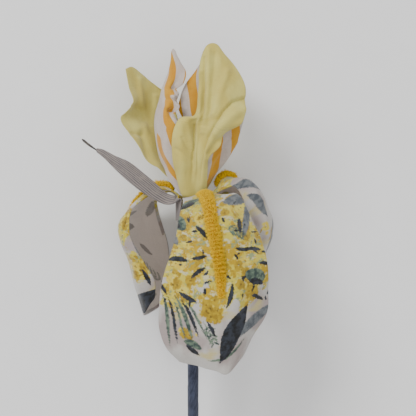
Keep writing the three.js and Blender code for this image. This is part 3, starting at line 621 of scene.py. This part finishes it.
def right_print(made):
    made.bloom((0, 20, 10), (12, 24, 7), (-14, 22, 6))
    made.sprays(np.random.default_rng(37), ((-12, 58), 6, 9), ((10, 62), 7, 10), ((-16, 70), 6, 10),
                ((16, 40), 6, 8))
    made.strokes("slate", ((-22, 20), 62, 24, 5.4, 24), ((-8, 28), 72, 15, 3.4, -20),
                 ((-18, 38), 72, 15, 4, 20), ((-8, 54), 96, 15, 4.6, 20), ((0, 50), 30, 16, 4.4, 20),
                 ((20, 60), 110, 12, 3.6, 20))
    made.strokes("dark", ((-2, 42), 60, 8, 1.9, 20), ((12, 50), 30, 10, 2.4, 20), ((-10, 74), 60, 12, 4, 20))
    made.sprig((14, 80), -60, 16, 5)


# ---- Materials ----
def linear(red, green, blue):
    """A colour given as screen values out of 255."""
    return tuple((c / 255 / 12.92) if c < 10.3 else ((c / 255 + 0.055) / 1.055) ** 2.4
                 for c in (red, green, blue)) + (1.0,)


OTHER_SIDE = 40.0  # so far apart in the noise are the two faces of a cloth


class Cloth:
    """A node graph that ends in one Principled shader."""

    def __init__(self, name, roughness=0.9, sheen=0.25, specular=0.2, metallic=0.0):
        self.material = bpy.data.materials.new(name)
        self.material.use_nodes = True
        self.tree = self.material.node_tree
        self.tree.nodes.clear()
        output = self.tree.nodes.new("ShaderNodeOutputMaterial")
        self.shader = self.tree.nodes.new("ShaderNodeBsdfPrincipled")
        self.tree.links.new(self.shader.outputs[0], output.inputs[0])
        for key, value in (("Roughness", roughness), ("Metallic", metallic), ("Sheen Weight", sheen),
                           ("Sheen Roughness", 0.5), ("Specular IOR Level", specular)):
            self.shader.inputs[key].default_value = value

    def node(self, kind, inputs, **settings):
        made = self.tree.nodes.new("ShaderNode" + kind)
        for key, value in settings.items():
            setattr(made, key, value)
        for key, value in inputs.items():
            if isinstance(value, bpy.types.NodeSocket):
                self.tree.links.new(value, made.inputs[key])
            else:
                made.inputs[key].default_value = value
        return made

    def math(self, operation, a, b=0.0, c=0.0):
        return self.node("Math", {0: a, 1: b, 2: c}, operation=operation).outputs[0]

    def plus(self, a, b):
        return self.math("ADD", a, b)

    def times(self, a, b, plus=0.0):
        return self.math("MULTIPLY_ADD", a, b, plus)

    def ripple(self, value, pitch):
        """A sine from 0 to 1."""
        return self.times(self.math("SINE", self.times(value, 2 * math.pi / pitch)), 0.5, 0.5)

    def field(self, name):
        return self.node("Attribute", {}, attribute_name=name).outputs["Fac"]

    def place(self):
        return self.node("Attribute", {}, attribute_name="cloth").outputs["Vector"]

    def places(self):
        """How far across and along the cloth, in millimetres."""
        return self.node("SeparateXYZ", {0: self.place()}).outputs[:2]

    def scaled(self, place, scale):
        return self.node("VectorMath", {0: place, 1: scale}, operation="MULTIPLY").outputs[0]

    def object_place(self):
        return self.node("TexCoord", {}).outputs["Object"]

    def noise(self, vector, scale, detail=3, rough=0.5):
        return self.node("TexNoise", {"Vector": vector, "Scale": scale, "Detail": detail,
                                      "Roughness": rough}).outputs[0]

    def grain(self, across, along, scale=1.0, detail=3, rough=0.5):
        """Noise in the cloth, stretched across and along it."""
        return self.noise(self.scaled(self.place(), (across, along, OTHER_SIDE)), scale, detail, rough)

    def smooth(self, value, low, high, to_low=0.0, to_high=1.0):
        return self.node("MapRange", {0: value, 1: low, 2: high, 3: to_low, 4: to_high},
                         interpolation_type="SMOOTHSTEP").outputs[0]

    def mix(self, share, a, b, blend="MIX"):
        """Two colours mixed, each a socket or screen values out of 255."""
        a, b = (linear(*colour) if isinstance(colour, tuple) else colour for colour in (a, b))
        return self.node("Mix", {0: share, 6: a, 7: b}, data_type="RGBA", blend_type=blend).outputs[2]

    def bump(self, height, distance, strength=1.0, **under):
        inputs = {"Strength": strength, "Distance": distance, "Height": height, **under}
        return self.node("Bump", inputs).outputs[0]

    def finished(self, colour, normal=None):
        self.tree.links.new(colour, self.shader.inputs["Base Color"])
        if normal:
            self.tree.links.new(normal, self.shader.inputs["Normal"])
        return self.material

    def weave(self, colour, pitch=0.42, slub=0.12):
        """Ends the graph: uneven yarns vary the colour's tone, painted shade darkens the gaps between the
        yarns of the plain weave, and the weave darkens and roughens the colour.
        """
        yarns = self.math("MULTIPLY", *(self.ripple(place, pitch) for place in self.places()))
        slubs = self.plus(self.grain(2.4, 0.12, detail=2), self.grain(0.12, 2.4, detail=2))
        fuzz = self.grain(3, 3, 1.6, 3, 0.6)
        tone = self.times(slubs, slub, 1 - slub)
        # Painted shade: the colour darkens in the gaps between yarns, where the bump is low, and lifts a
        # touch on the yarns' crowns.
        tone = self.times(tone, self.smooth(yarns, 0, 0.6, 0.9, 1.03))
        grey = self.node("CombineColor", {0: tone, 1: tone, 2: tone}).outputs[0]
        height = self.plus(self.times(yarns, 0.7), self.times(slubs, 0.9))
        height = self.plus(height, self.times(fuzz, 0.5))
        fine = self.bump(height, 0.00006)
        crumpled = self.bump(self.grain(0.16, 0.1, rough=0.55), 0.0004, Normal=fine)
        return self.finished(self.mix(1.0, colour, grey, "MULTIPLY"), crumpled)


def plain_cloth(name, light, dark):
    cloth = Cloth(name)
    return cloth.weave(cloth.mix(cloth.smooth(cloth.grain(0.09, 0.05), 0.35, 0.68), dark, light))


STRIPE_PITCH = 9.2
STRIPE_BAND = 4.6


def striped_cloth(name, offset, slope, turn=0.0, frill=0.0):
    """Pinkish white with broad orange stripes along the cloth.

    The gathered foot draws the stripes aside by turn, and the pleats of a frilled edge hide and
    widen them by frill.
    """
    cloth = Cloth(name)
    across, down = cloth.places()
    drawn = cloth.plus(across, cloth.times(down, slope, -offset))
    drawn = cloth.plus(drawn, cloth.smooth(down, 6, 38, -turn, 0.0))
    folded = cloth.math("PINGPONG", drawn, STRIPE_PITCH / 2)
    edge = cloth.plus(folded, cloth.times(cloth.grain(3, 1.2, detail=2), 0.25))
    edge = cloth.plus(edge, cloth.smooth(down, 8, 42, 0.25 * turn, 0.0))
    if frill:
        edge = cloth.plus(edge, frill_pleats(cloth, across, down, frill))
        rolled = cloth.times(cloth.smooth(across, -5, -3, 3.0, 0.0), cloth.smooth(down, 38, 44))
        edge = cloth.plus(edge, rolled)
    stripe = cloth.smooth(edge, STRIPE_BAND / 2 + 0.02, STRIPE_BAND / 2 + 0.22, 1.0, 0.0)
    tint = cloth.smooth(cloth.grain(0.1, 0.06), 0.3, 0.7)
    ground = cloth.mix(tint, (178, 162, 150), (190, 181, 173))
    orange = cloth.mix(tint, (184, 126, 26), (195, 145, 42))
    return cloth.weave(cloth.mix(stripe, ground, orange), slub=0.16)


def frill_pleats(cloth, across, down, frill):
    """Slanting pleats 8 mm apart along one stretch of the edge."""
    slant = cloth.times(across, 0.66, down)
    pleats = cloth.math("SINE", cloth.times(slant, 2 * math.pi / 8, -0.69))
    stretch = cloth.times(cloth.smooth(down, 42, 45), cloth.smooth(down, 59, 62, 1.0, 0.0))
    return cloth.times(pleats, cloth.times(stretch, cloth.smooth(across, -2, 1, 0.0, frill)))


# Dabs laid over the bloom's lemon and mustard: stretch across and along, scale, roughness, where the
# noise starts and fills them, and colour.
BLOOM_DABS = (
    ((0.8, 1, 0.3, 0.7), (0.53, 0.58), (184, 178, 138)),
    ((1, 1.3, 0.26, 0.7), (0.56, 0.62), (128, 138, 98)),
    ((1.2, 1, 0.6, 0.65), (0.59, 0.67), (128, 100, 24)),
)


def painted_bloom(cloth):
    """Dabs of lemon, mustard, cream and pale green laid over one another, and dark specks."""
    dabs = cloth.smooth(cloth.grain(1, 0.8, 0.19, 4, 0.7), 0.46, 0.54)
    colour = cloth.mix(dabs, (184, 170, 64), (168, 138, 30))
    for (across, along_it, scale, rough), limits, tone in BLOOM_DABS:
        dabs = cloth.smooth(cloth.grain(across, along_it, scale, 4, rough), *limits)
        colour = cloth.mix(dabs, colour, tone)
    specks = cloth.smooth(cloth.grain(1, 1, 1.1, 3, 0.6), 0.63, 0.69)
    patches = cloth.smooth(cloth.grain(1, 1, 0.13, 2), 0.48, 0.6)
    return cloth.mix(cloth.times(specks, patches), colour, (72, 76, 50))


# Each ink: how soft its edge is, how far it strays, and its two tones.
INK_LOOKS = (
    ("lemon", 0.3, 1.8, (198, 184, 84), (190, 164, 58)),
    ("mustard", 0.25, 1.8, (166, 140, 34), (140, 114, 28)),
    ("eye", 0.2, 1.2, (122, 92, 24), (92, 76, 32)),
    ("slate", 0.3, 2.2, (104, 108, 110), (74, 79, 84)),
    ("green", 0.2, 1.3, (98, 114, 96), (50, 64, 60)),
    ("dark", 0.14, 1.5, (26, 27, 28), (46, 50, 58)),
)


def print_layers(cloth, colour, strength=1.0, inks=INKS):
    """Lays the inks over a ground colour: each has two tones and a soft, uneven edge."""
    wander = cloth.math("SUBTRACT", cloth.grain(1, 1, 0.9, 4, 0.65), 0.5)
    blotch = cloth.smooth(cloth.grain(1, 1, 0.35, 3, 0.6), 0.38, 0.62)
    bristles = cloth.times(cloth.math("SUBTRACT", cloth.grain(1.6, 1.6, 1.5, 2, 0.6), 0.5), 0.9)
    if "bloom" in inks:
        far = cloth.times(cloth.math("SUBTRACT", cloth.grain(1, 1, 0.22, 4, 0.65), 0.5), 16.0)
        mass = cloth.smooth(cloth.plus(cloth.field("bloom"), far), -0.3, 0.3, 1.0, 0.0)
        colour = cloth.mix(mass, colour, painted_bloom(cloth))
    for ink, soft, stray, one_tone, other_tone in INK_LOOKS:
        if ink not in inks:
            continue
        distance = cloth.plus(cloth.field(ink), cloth.plus(cloth.times(wander, stray), bristles))
        mask = cloth.smooth(distance, -soft, soft, strength, 0.0)
        colour = cloth.mix(mask, colour, cloth.mix(blotch, one_tone, other_tone))
    return colour


def printed_cloth(name, straw):
    """Grey-white cotton with mauve and straw-yellow washes under the inks."""
    cloth = Cloth(name)
    pink = cloth.smooth(cloth.grain(0.07, 0.05), 0.42, 0.6)
    wash = cloth.smooth(cloth.grain(0.05, 0.09, 1.3), 0.62 - straw, 0.78 - straw)
    ground = cloth.mix(pink, (175, 171, 165), (152, 140, 136))
    ground = cloth.mix(wash, ground, (176, 164, 116))
    return cloth.weave(print_layers(cloth, ground), slub=0.1)


def lining_cloth(name):
    """Mauve-grey cotton through which the print's dark parts show a little."""
    cloth = Cloth(name)
    ground = cloth.mix(cloth.grain(0.06, 0.06), (206, 194, 184), (220, 208, 198))
    return cloth.weave(print_layers(cloth, ground, 0.62, ("slate", "green", "dark")))


def pinstriped_cloth(name):
    """Mauve-grey cotton with fine dark lines along it."""
    cloth = Cloth(name)
    wobble = cloth.times(cloth.grain(0.07, 0.04, detail=2), 3.5)
    lines = cloth.ripple(cloth.plus(cloth.places()[0], wobble), 0.95)
    share = cloth.smooth(cloth.times(lines, cloth.grain(0.5, 0.25)), 0.16, 0.42)
    ground = cloth.mix(cloth.grain(0.2, 0.06), (127, 118, 112), (151, 141, 134))
    return cloth.weave(cloth.mix(share, ground, (90, 86, 90)), slub=0.2)


def pile(name):
    """Golden tufts, no two quite alike, deep at the root and pale at the tip: in part the yarn's own colour,
    and in part painted shade deep in the pile at the root.
    """
    cloth = Cloth(name, roughness=0.85, sheen=0.08)
    patches = cloth.grain(0.5, 0.5, detail=2)
    shade = cloth.plus(cloth.times(cloth.field("shade"), 0.6), cloth.times(patches, 0.5))
    # The darker root colours are partly the yarn's own colour and partly painted shade deep in the pile.
    root = cloth.mix(shade, (150, 98, 0), (188, 136, 0))
    tip = cloth.mix(shade, (222, 176, 0), (240, 204, 20))
    return cloth.finished(cloth.mix(cloth.smooth(cloth.field("tip"), 0, 0.9), root, tip))


def wound_cloth(name, light, dark, pitch):
    """Tape wound round and round, its laps and yarns showing."""
    cloth = Cloth(name)
    mottle = cloth.smooth(cloth.grain(1.2, 0.22, 1.0, 4, 0.65), 0.32, 0.68)
    return cloth.weave(cloth.mix(mottle, dark, light), pitch, 0.28)


def metal(name, light, dark):
    """Drawn wire, streaked along its length."""
    steel = Cloth(name, roughness=0.42, sheen=0.0, specular=0.5, metallic=1.0)
    streaks = steel.noise(steel.scaled(steel.object_place(), (9000, 300, 9000)), 1.0)
    return steel.finished(steel.mix(streaks, dark, light), steel.bump(streaks, 0.00003, 0.4))


def wound_thread(name):
    """Fine pale thread wound across the core, with painted shade in the grooves between its rounds."""
    thread = Cloth(name)
    rounds = thread.ripple(thread.node("SeparateXYZ", {0: thread.object_place()}).outputs[1], 0.00045)
    # Painted shade: the colour darkens where the bump is low, in the grooves between the rounds.
    colour = thread.mix(rounds, (168, 160, 148), (226, 220, 208))
    return thread.finished(colour, thread.bump(rounds, 0.0001))


# ---- Beards ----
BEARD_WIDTH = 4.9
BEARD_TAPER = 0.3
BEARD_ENDS = (0.12, 0.22)  # shares of its length over which its two ends narrow
MIDDLE_STRIP = 0.008  # the share of a petal's width whose real width is measured under the beard
BEARD_BODY = 1.7
PILE_BASE = 0.35
TUFTS_PER_MM = 150
TUFT_ROW = 1.25  # the tufts lean fore and aft by rows this far apart
TUFT_FACES = [face for k, n in ((0, 1), (1, 2), (2, 0))
              for face in ((k, n, 3 + n), (k, 3 + n, 3 + k), (3 + k, 3 + n, 6))]


def beard_frame(petal, start, end, s, t):
    """Points, normals, ways across and taper for shares s [S] of a beard's length and t [S, T] of its
    width."""
    share = start + (end - start) * s
    strip = [0.5 - MIDDLE_STRIP / 2, 0.5 + MIDDLE_STRIP / 2]
    edges = surface(petal.net, share, np.broadcast_to(strip, (len(s), 2)))
    span = np.linalg.norm(edges[:, 1] - edges[:, 0], axis=-1) / MIDDLE_STRIP
    taper = np.clip(np.minimum(s / BEARD_ENDS[0], (1 - s) / BEARD_ENDS[1]), 0, 1)
    width = BEARD_WIDTH * (1 - BEARD_TAPER * s) * np.sqrt(1 - 0.75 * (1 - taper) ** 2)
    points, out = petal.sheet(share, 0.5 + (t - 0.5) * (width / span)[:, None])
    near, _ = petal.sheet(share, 0.5 + (t - 0.45) * (width / span)[:, None])
    return points, out, unit(near - points), taper[:, None]


def beard_top(points, out, t, taper):
    crown = np.sqrt(np.maximum(1 - (2 * t - 1) ** 2, 0)) * np.sqrt(taper)
    return points + out * (PILE_BASE + BEARD_BODY * crown)[..., None]


def curved_tufts(draw, petal, start, end, length, tufts):
    """Roots [N, 3] of the tufts and the seven points [N, 7, 3] of each: two triangles and a tip."""
    s = np.sort(draw.random(tufts))
    t = ((1 - np.cos(np.pi * draw.random(tufts))) / 2)[:, None]
    points, out, across, taper = beard_frame(petal, start, end, s, t)
    root = beard_top(points, out, t, taper)[:, 0]
    lean = 2 * t[:, 0] - 1
    out, across = out[:, 0], across[:, 0]
    lengthwise = unit(np.cross(across, out))
    row = np.sin(2 * np.pi * s * length / TUFT_ROW)
    heading = out * np.sqrt(1 - 0.9 * lean**2)[:, None] + across * lean[:, None]
    heading = heading + lengthwise * (0.45 * row)[:, None] + draw.normal(0, 0.22, (tufts, 3))
    heading = unit(heading)
    reach = draw.uniform(0.7, 1.25, tufts) * (1 + 0.35 * np.abs(lean) ** 3) * (0.55 + 0.45 * taper[:, 0])
    middle = root + heading * (0.55 * reach)[:, None]
    tip = root + (heading + draw.normal(0, 0.28, (tufts, 3))) * reach[:, None]
    turn = draw.uniform(0, 2 * np.pi, tufts)
    side_a = unit(np.cross(heading, lengthwise + 0.01))
    side_b = np.cross(heading, side_a)
    rings = []
    for centre, radius in ((root - heading * 0.2, 0.13), (middle, 0.12)):
        for k in range(3):
            angle = turn + 2 * np.pi * k / 3
            spoke = side_a * np.cos(angle)[:, None] + side_b * np.sin(angle)[:, None]
            rings.append(centre + radius * spoke)
    return root, np.stack([*rings, tip], 1)


def beard(side, petal, start, end, length, material):
    """A rounded strip closely set with curved tufts, in rows across it."""
    draw = np.random.default_rng(5)
    rows, columns = 90, 17
    t = np.broadcast_to(np.linspace(0, 1, columns), (rows, columns))
    points, out, _, taper = beard_frame(petal, start, end, np.linspace(0, 1, rows), t)
    body = beard_top(points, out, t, taper).reshape(-1, 3)
    tufts = length * TUFTS_PER_MM
    root, fibre = curved_tufts(draw, petal, start, end, length, tufts)
    start_at = len(body) + 7 * np.arange(tufts)[:, None, None]
    faces = grid_faces(rows, columns).tolist() + (start_at + np.array(TUFT_FACES)).reshape(-1, 3).tolist()
    fields = {
        "tip": np.concatenate([np.zeros(len(body)), np.tile([0, 0, 0, 0.6, 0.6, 0.6, 1], tufts)]),
        "shade": np.concatenate([np.full(len(body), 0.3), np.repeat(draw.random(tufts), 7)]),
        "cloth": np.concatenate([body, np.repeat(root, 7, axis=0)]),
    }
    points = placed(np.concatenate([body, fibre.reshape(-1, 3)]))
    made = new_object(f"{side}_beard_pile", points, faces, material, fields)
    stand_in(made, f"beard_{side}")


# ---- Round pieces ----
SPIRAL = 0.35  # how far round the yarns of a winding run for each millimetre along it


def wound(name, corners, material, pitch, columns, lap_pitch, lap):
    """A turned piece of wound tape about the stem, with corners (radius, y, lapped) from tail to top."""
    profile = np.array(steps_between(corners, pitch), float)
    turn = np.linspace(0, 2 * np.pi, columns + 1)
    radius, y, lapped = (profile[:, k][:, None] for k in range(3))
    laps = np.mod(y / lap_pitch + turn / (2 * np.pi), 1)
    radius = radius + lap * lapped * laps**0.6
    shape = np.broadcast_to(turn, (len(profile), columns + 1))
    points = np.stack([radius * np.sin(shape + np.pi), np.broadcast_to(y, shape.shape),
                       radius * np.cos(shape + np.pi)], -1)
    girth = np.max(profile[:, 0])
    run = np.concatenate([[0], np.cumsum(np.hypot(*np.diff(profile[:, :2], axis=0).T))])[:, None]
    cloth = np.stack([shape * girth - run * SPIRAL, np.broadcast_to(run, shape.shape),
                      np.ones(shape.shape)], -1)
    return new_object(name, placed(points).reshape(-1, 3), grid_faces(*shape.shape, flip=True).tolist(),
                      material, {"cloth": cloth.reshape(-1, 3)})


def steps_between(corners, pitch):
    """A profile's corners with points set in about this far apart."""
    rows = [corners[0]]
    for a, b in zip(corners[:-1], corners[1:]):
        count = max(1, round(math.dist(a[:2], b[:2]) / pitch))
        rows += [tuple(np.array(a) + (np.array(b) - np.array(a)) * k / count) for k in range(1, count + 1)]
    return rows


def tube(name, path, material, radius, sides):
    """A thin round piece along a path [N, 3], bound thicker near its end."""
    run = unit(np.gradient(path, axis=0))
    first = unit(np.cross(run, [0, 0, 1.0]))
    second = np.cross(run, first)
    turn = np.linspace(0, 2 * np.pi, sides, endpoint=False)
    ring = first[:, None] * np.cos(turn)[:, None] + second[:, None] * np.sin(turn)[:, None]
    taper = np.interp(np.arange(len(path))[::-1], [0, 1, 4, 6], [0.8, 1.4, 1.4, 0.9])[:, None, None]
    points = (path[:, None] + ring * radius * taper).reshape(-1, 3)
    walk = np.concatenate([[0], np.cumsum(np.linalg.norm(np.diff(path, axis=0), axis=-1))])
    cloth = np.stack([np.tile(turn * radius, len(path)), np.repeat(walk, sides), np.ones(len(points))], -1)
    numbers = np.arange(len(points)).reshape(len(path), sides)
    faces = np.concatenate([ring_faces(a, b) for a, b in zip(numbers[:-1], numbers[1:])]).tolist()
    faces += [numbers[0][::-1].tolist(), numbers[-1].tolist()]
    return new_object(name, placed(points), faces, material, {"cloth": cloth})


# ---- Stage, camera and light ----
def look_from(place, direction, up):
    """A rotation whose -Z looks against this direction, moved to the place."""
    back = np.array(direction) / np.linalg.norm(direction)
    right = unit(np.cross(up, back))
    turned = Matrix(np.stack([right, np.cross(back, right), back], 1).tolist()).to_4x4()
    turned.translation = place
    return turned


FRAME_CENTRE = (6.75, -3.6, 12.0)
DISTANCE = 2.5
SENSOR = 36.0
FLOOR_REACH = 3
SKY_LIGHT = 0.84

camera = linked("camera", bpy.data.cameras.new("camera"))
camera.data.sensor_width = SENSOR
camera.data.lens = SENSOR * DISTANCE / (PHOTO_WIDTH * PX * MM)
camera.data.clip_end = 20
outwards = (0, -math.sin(LEAN), math.cos(LEAN))
camera.matrix_world = look_from(placed(np.array(FRAME_CENTRE)) + DISTANCE * np.array(outwards), outwards,
                                (0, math.cos(LEAN), math.sin(LEAN)))
bpy.context.scene.camera = camera

paper = Cloth("pale_paper", roughness=0.95, sheen=0.0)
grain = paper.noise(paper.object_place(), 60.0)
floor_corners = FLOOR_REACH * np.array([(-1, -1, 0), (1, -1, 0), (1, 1, 0), (-1, 1, 0)])
floor = new_object("floor", floor_corners, [(0, 1, 2, 3)],
                   paper.finished(paper.mix(grain, (221, 221, 221), (225, 225, 225))), {})

world = bpy.context.scene.world or bpy.data.worlds.new("studio")
bpy.context.scene.world = world
world.use_nodes = True
world.node_tree.nodes["Background"].inputs["Color"].default_value = (1, 1, 1, 1)
world.node_tree.nodes["Background"].inputs["Strength"].default_value = SKY_LIGHT
for name, at, size, power in (("key", (-0.9, 0.9, 1.3), 0.8, 26.0), ("front", (0.5, -0.3, 2.2), 1.6, 16.0)):
    lamp = linked(name, bpy.data.lights.new(name, "AREA"))
    lamp.data.size = size
    lamp.data.energy = power
    lamp.matrix_world = look_from(at, at, (0, 1, 0.01))

# ---- The petals ----
STANDARD_RIGHT_CREASES = [
    ([(201, 72), (201, 104), (198.5, 126), (197, 145), (195.5, 165), (193.5, 192)], 1.3, 0.8),
    ([(194.5, 125), (194, 145), (192.5, 170), (190.5, 192)], -1.0, 0.7),
    ([(244, 99), (233, 102), (223, 112), (214, 127), (207, 138), (203, 150), (201, 170), (200, 190)],
     -1.5, 0.8),
    ([(246, 110), (236, 113), (226, 121), (216, 132)], 1.4, 2.2),
    ([(242, 127), (229, 133), (217, 142), (209, 153)], -1.3, 1.5),
    ([(209, 50), (208.5, 80), (207, 110), (203, 132)], 0.9, 1.0),
    ([(204.5, 58), (204.5, 80), (204, 108), (203, 125)], -0.7, 0.7),
    ([(215, 54), (213.5, 80), (211, 105), (207, 125)], -0.6, 1.0),
    ([(227, 72), (221, 92), (214, 114)], 0.9, 1.4),
    ([(187, 122), (190, 138), (193, 152)], 0.7, 1.1),
    ([(182, 138), (187, 147), (192, 153)], -0.6, 0.9),
    ([(176, 149), (184, 154), (191, 160)], -0.5, 0.8),
    ([(182, 160), (184, 188)], 0.4, 1.8),
    ([(186, 172), (187, 192)], -0.4, 0.9),
]
STANDARD_LEFT_CREASES = [
    ([(139, 78), (140, 95), (142, 115), (145, 132)], 0.7, 1.3),
    ([(133, 105), (140, 109), (143, 120)], -0.8, 1.2),
    ([(124, 114), (134, 121), (142, 131)], 0.7, 2.0),
    ([(142, 133), (146, 149), (152, 165)], -1.6, 1.7),
    ([(132, 133), (142, 134)], -0.8, 1.0),
    ([(155, 95), (152, 125)], 0.5, 1.2),
]
STRIPE_LEFT_CREASES = [
    ([(170, 88), (178, 86), (184, 84)], -0.9, 0.9),
    ([(166, 98), (176, 101)], -0.8, 1.1),
    ([(168, 110), (178, 113)], -0.8, 0.9),
    ([(164, 125), (166, 155), (173, 182)], 0.5, 1.4),
    ([(160, 108), (159, 140), (166, 170)], -0.4, 1.2),
    ([(150, 122), (153, 145), (160, 164), (170, 184)], -0.7, 2.0),
]
STRIPE_RIGHT_CREASES = [
    ([(190, 90), (186, 112)], -0.6, 1.3),
    ([(214, 175), (236, 141)], 0.8, 1.1),
    ([(209, 175), (224, 150)], -0.8, 1.0),
    ([(208, 162), (230, 138)], -0.6, 0.9),
]
FALL_FRONT_CREASES = [
    ([(182, 214), (178, 250), (168, 300)], 0.5, 3.0),
    ([(238, 225), (246, 262), (246, 310)], -0.7, 3.0),
    ([(228, 340), (238, 300), (240, 270)], 0.6, 2.6),
    ([(190, 345), (196, 300)], -0.5, 3.4),
]
FALL_LEFT_CREASES = [([(140, 215), (150, 240), (154, 268)], 0.5, 2.4)]
FALL_RIGHT_CREASES = [
    ([(246, 180), (262, 205), (268, 235)], 0.6, 2.0),
    ([(238, 184), (250, 206), (256, 226)], -0.6, 1.8),
]
BRACT_CREASES = [([(100, 154), (130, 175), (172, 198)], -0.5, 0.7)]

yellow = plain_cloth("yellow_cotton", (200, 191, 108), (186, 170, 86))
STANDARDS = (
    ("right", (44, -66), STANDARD_RIGHT, STANDARD_RIGHT_CREASES),
    ("left", (88, 164), STANDARD_LEFT, STANDARD_LEFT_CREASES),
    ("back", (182, 272), STANDARD_BACK, ()),
)
for number, (side, turns, net, creases) in enumerate(STANDARDS):
    petal = Petal((STANDARD_RING, STANDARD_FLARE, *turns), net, creases, 40 + number, side=-1)
    finish_cloth(closed_sheet(f"{side}_standard", petal, yellow), f"standard_{side}")

STRIPED = (
    ("left", (80, 8), STRIPE_LEFT, STRIPE_LEFT_CREASES, (7.5, 0.135, 5.5, 1.5)),
    ("right", (-12, -108), STRIPE_RIGHT, STRIPE_RIGHT_CREASES, (4.1, 0.05)),
    ("back", (128, 232), STRIPE_BACK, (), (2.0, 0.0)),
)
for number, (side, turns, net, creases, stripes) in enumerate(STRIPED):
    petal = Petal((STRIPE_RING, STRIPE_FLARE, *turns), net, creases, 43 + number, side=-1)
    piece = closed_sheet(f"{side}_striped_petal", petal, striped_cloth(f"striped_cotton_{side}", *stripes))
    finish_cloth(piece, f"stripe_petal_{side}")

bract = Petal((BRACT_RING, 0, 88, 46), BRACT, BRACT_CREASES, 46, wave=0.12)
piece = closed_sheet("bract_cloth", bract, pinstriped_cloth("pinstriped_cotton"))
finish_cloth(piece, "bract")

lining = lining_cloth("mauve_grey_lining")
golden = pile("golden_pile")
FALLS = (
    ("front", (42, -42), FALL_FRONT, FALL_FRONT_CREASES, 0.06, front_print, (0.245, 0.71), 42),
    ("left", (158, 92), FALL_LEFT, FALL_LEFT_CREASES, 0.12, left_print, (0.3, 0.59), 24),
    ("right", (-72, -146), FALL_RIGHT, FALL_RIGHT_CREASES, 0.08, right_print, (0.29, 0.46), 16),
)
for number, (side, turns, net, creases, straw, design, reach, length) in enumerate(FALLS):
    petal = Petal((FALL_RING, FALL_FLARE, *turns), net, creases, 60 + number, wave=0.3)
    fall_skins(side, petal, printed_cloth(f"printed_cotton_{side}", straw), lining, design)
    beard(side, petal, *reach, length, golden)

# ---- Stem, binding and wires ----
SLEEVE_BORE = WIRE_RADIUS + CLEAR
WRAP_RADIUS = SLEEVE_RADIUS - 0.12
WRAP_PITCH = 0.5
navy = wound_cloth("navy_cotton", (64, 70, 88), (38, 42, 56), WRAP_PITCH)
sleeve_corners = [(SLEEVE_BORE, STEM_END, 0), (WRAP_RADIUS, STEM_END, 0), (WRAP_RADIUS, STEM_END + 0.5, 1),
                  (WRAP_RADIUS, FOOT_BOTTOM - 0.6, 1)]
sleeve = wound("stem_wrap", sleeve_corners, navy, pitch=0.8, columns=48, lap_pitch=16.0, lap=0.16)
stand_in(sleeve, "stem_sleeve")

grey = wound_cloth("grey_tape", (134, 130, 134), (98, 96, 104), WRAP_PITCH)
binding_corners = [
    (SLEEVE_RADIUS + 0.1, BINDING_TAIL, 0), (SLEEVE_RADIUS + 0.7, BINDING_TAIL + 0.6, 1),
    (BINDING_RADIUS - 0.3, FOOT_BOTTOM - 0.9, 1), (BINDING_RADIUS - 0.2, FOOT_TOP - 0.5, 1),
    (BINDING_RADIUS - 0.4, FOOT_TOP, 0), (BINDING_BORE, FOOT_TOP, 0), (BINDING_BORE - 0.1, FOOT_TOP - 3, 0),
]
binding = wound("neck_wrap", binding_corners, grey, pitch=0.3, columns=96, lap_pitch=2.6, lap=0.28)
stand_in(binding, "neck_binding")

# The wire runs along the back of the bract's middle and out past its tip.
BEHIND_BRACT = 0.75
WIRE_TIP = [(-46.8, 24.8, 9.8), (-50, 27.4, 9.4)]
shares = np.linspace(0.45, 0.97, 30)
line, _ = bract.sheet(shares, np.array([0.5]))
behind = normals(bract.net, shares, np.full((len(shares), 1), 0.5))
key_points = np.concatenate([(line - behind * BEHIND_BRACT)[:, 0], WIRE_TIP])
path = along(key_points[:, None], np.linspace(0, 1, 120))[:, 0]
wrap = wound_cloth("wire_wrap", (92, 86, 80), (56, 52, 52), 0.4)
wire = tube("bract_wire_wrapped", path, wrap, radius=0.4, sides=14)
stand_in(wire, "bract_wire")

for node, material in (("stem_wire", metal("drawn_wire", (170, 168, 166), (112, 110, 110))),
                       ("petal_core", wound_thread("wound_thread"))):
    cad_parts[node].material_slots[0].material = material
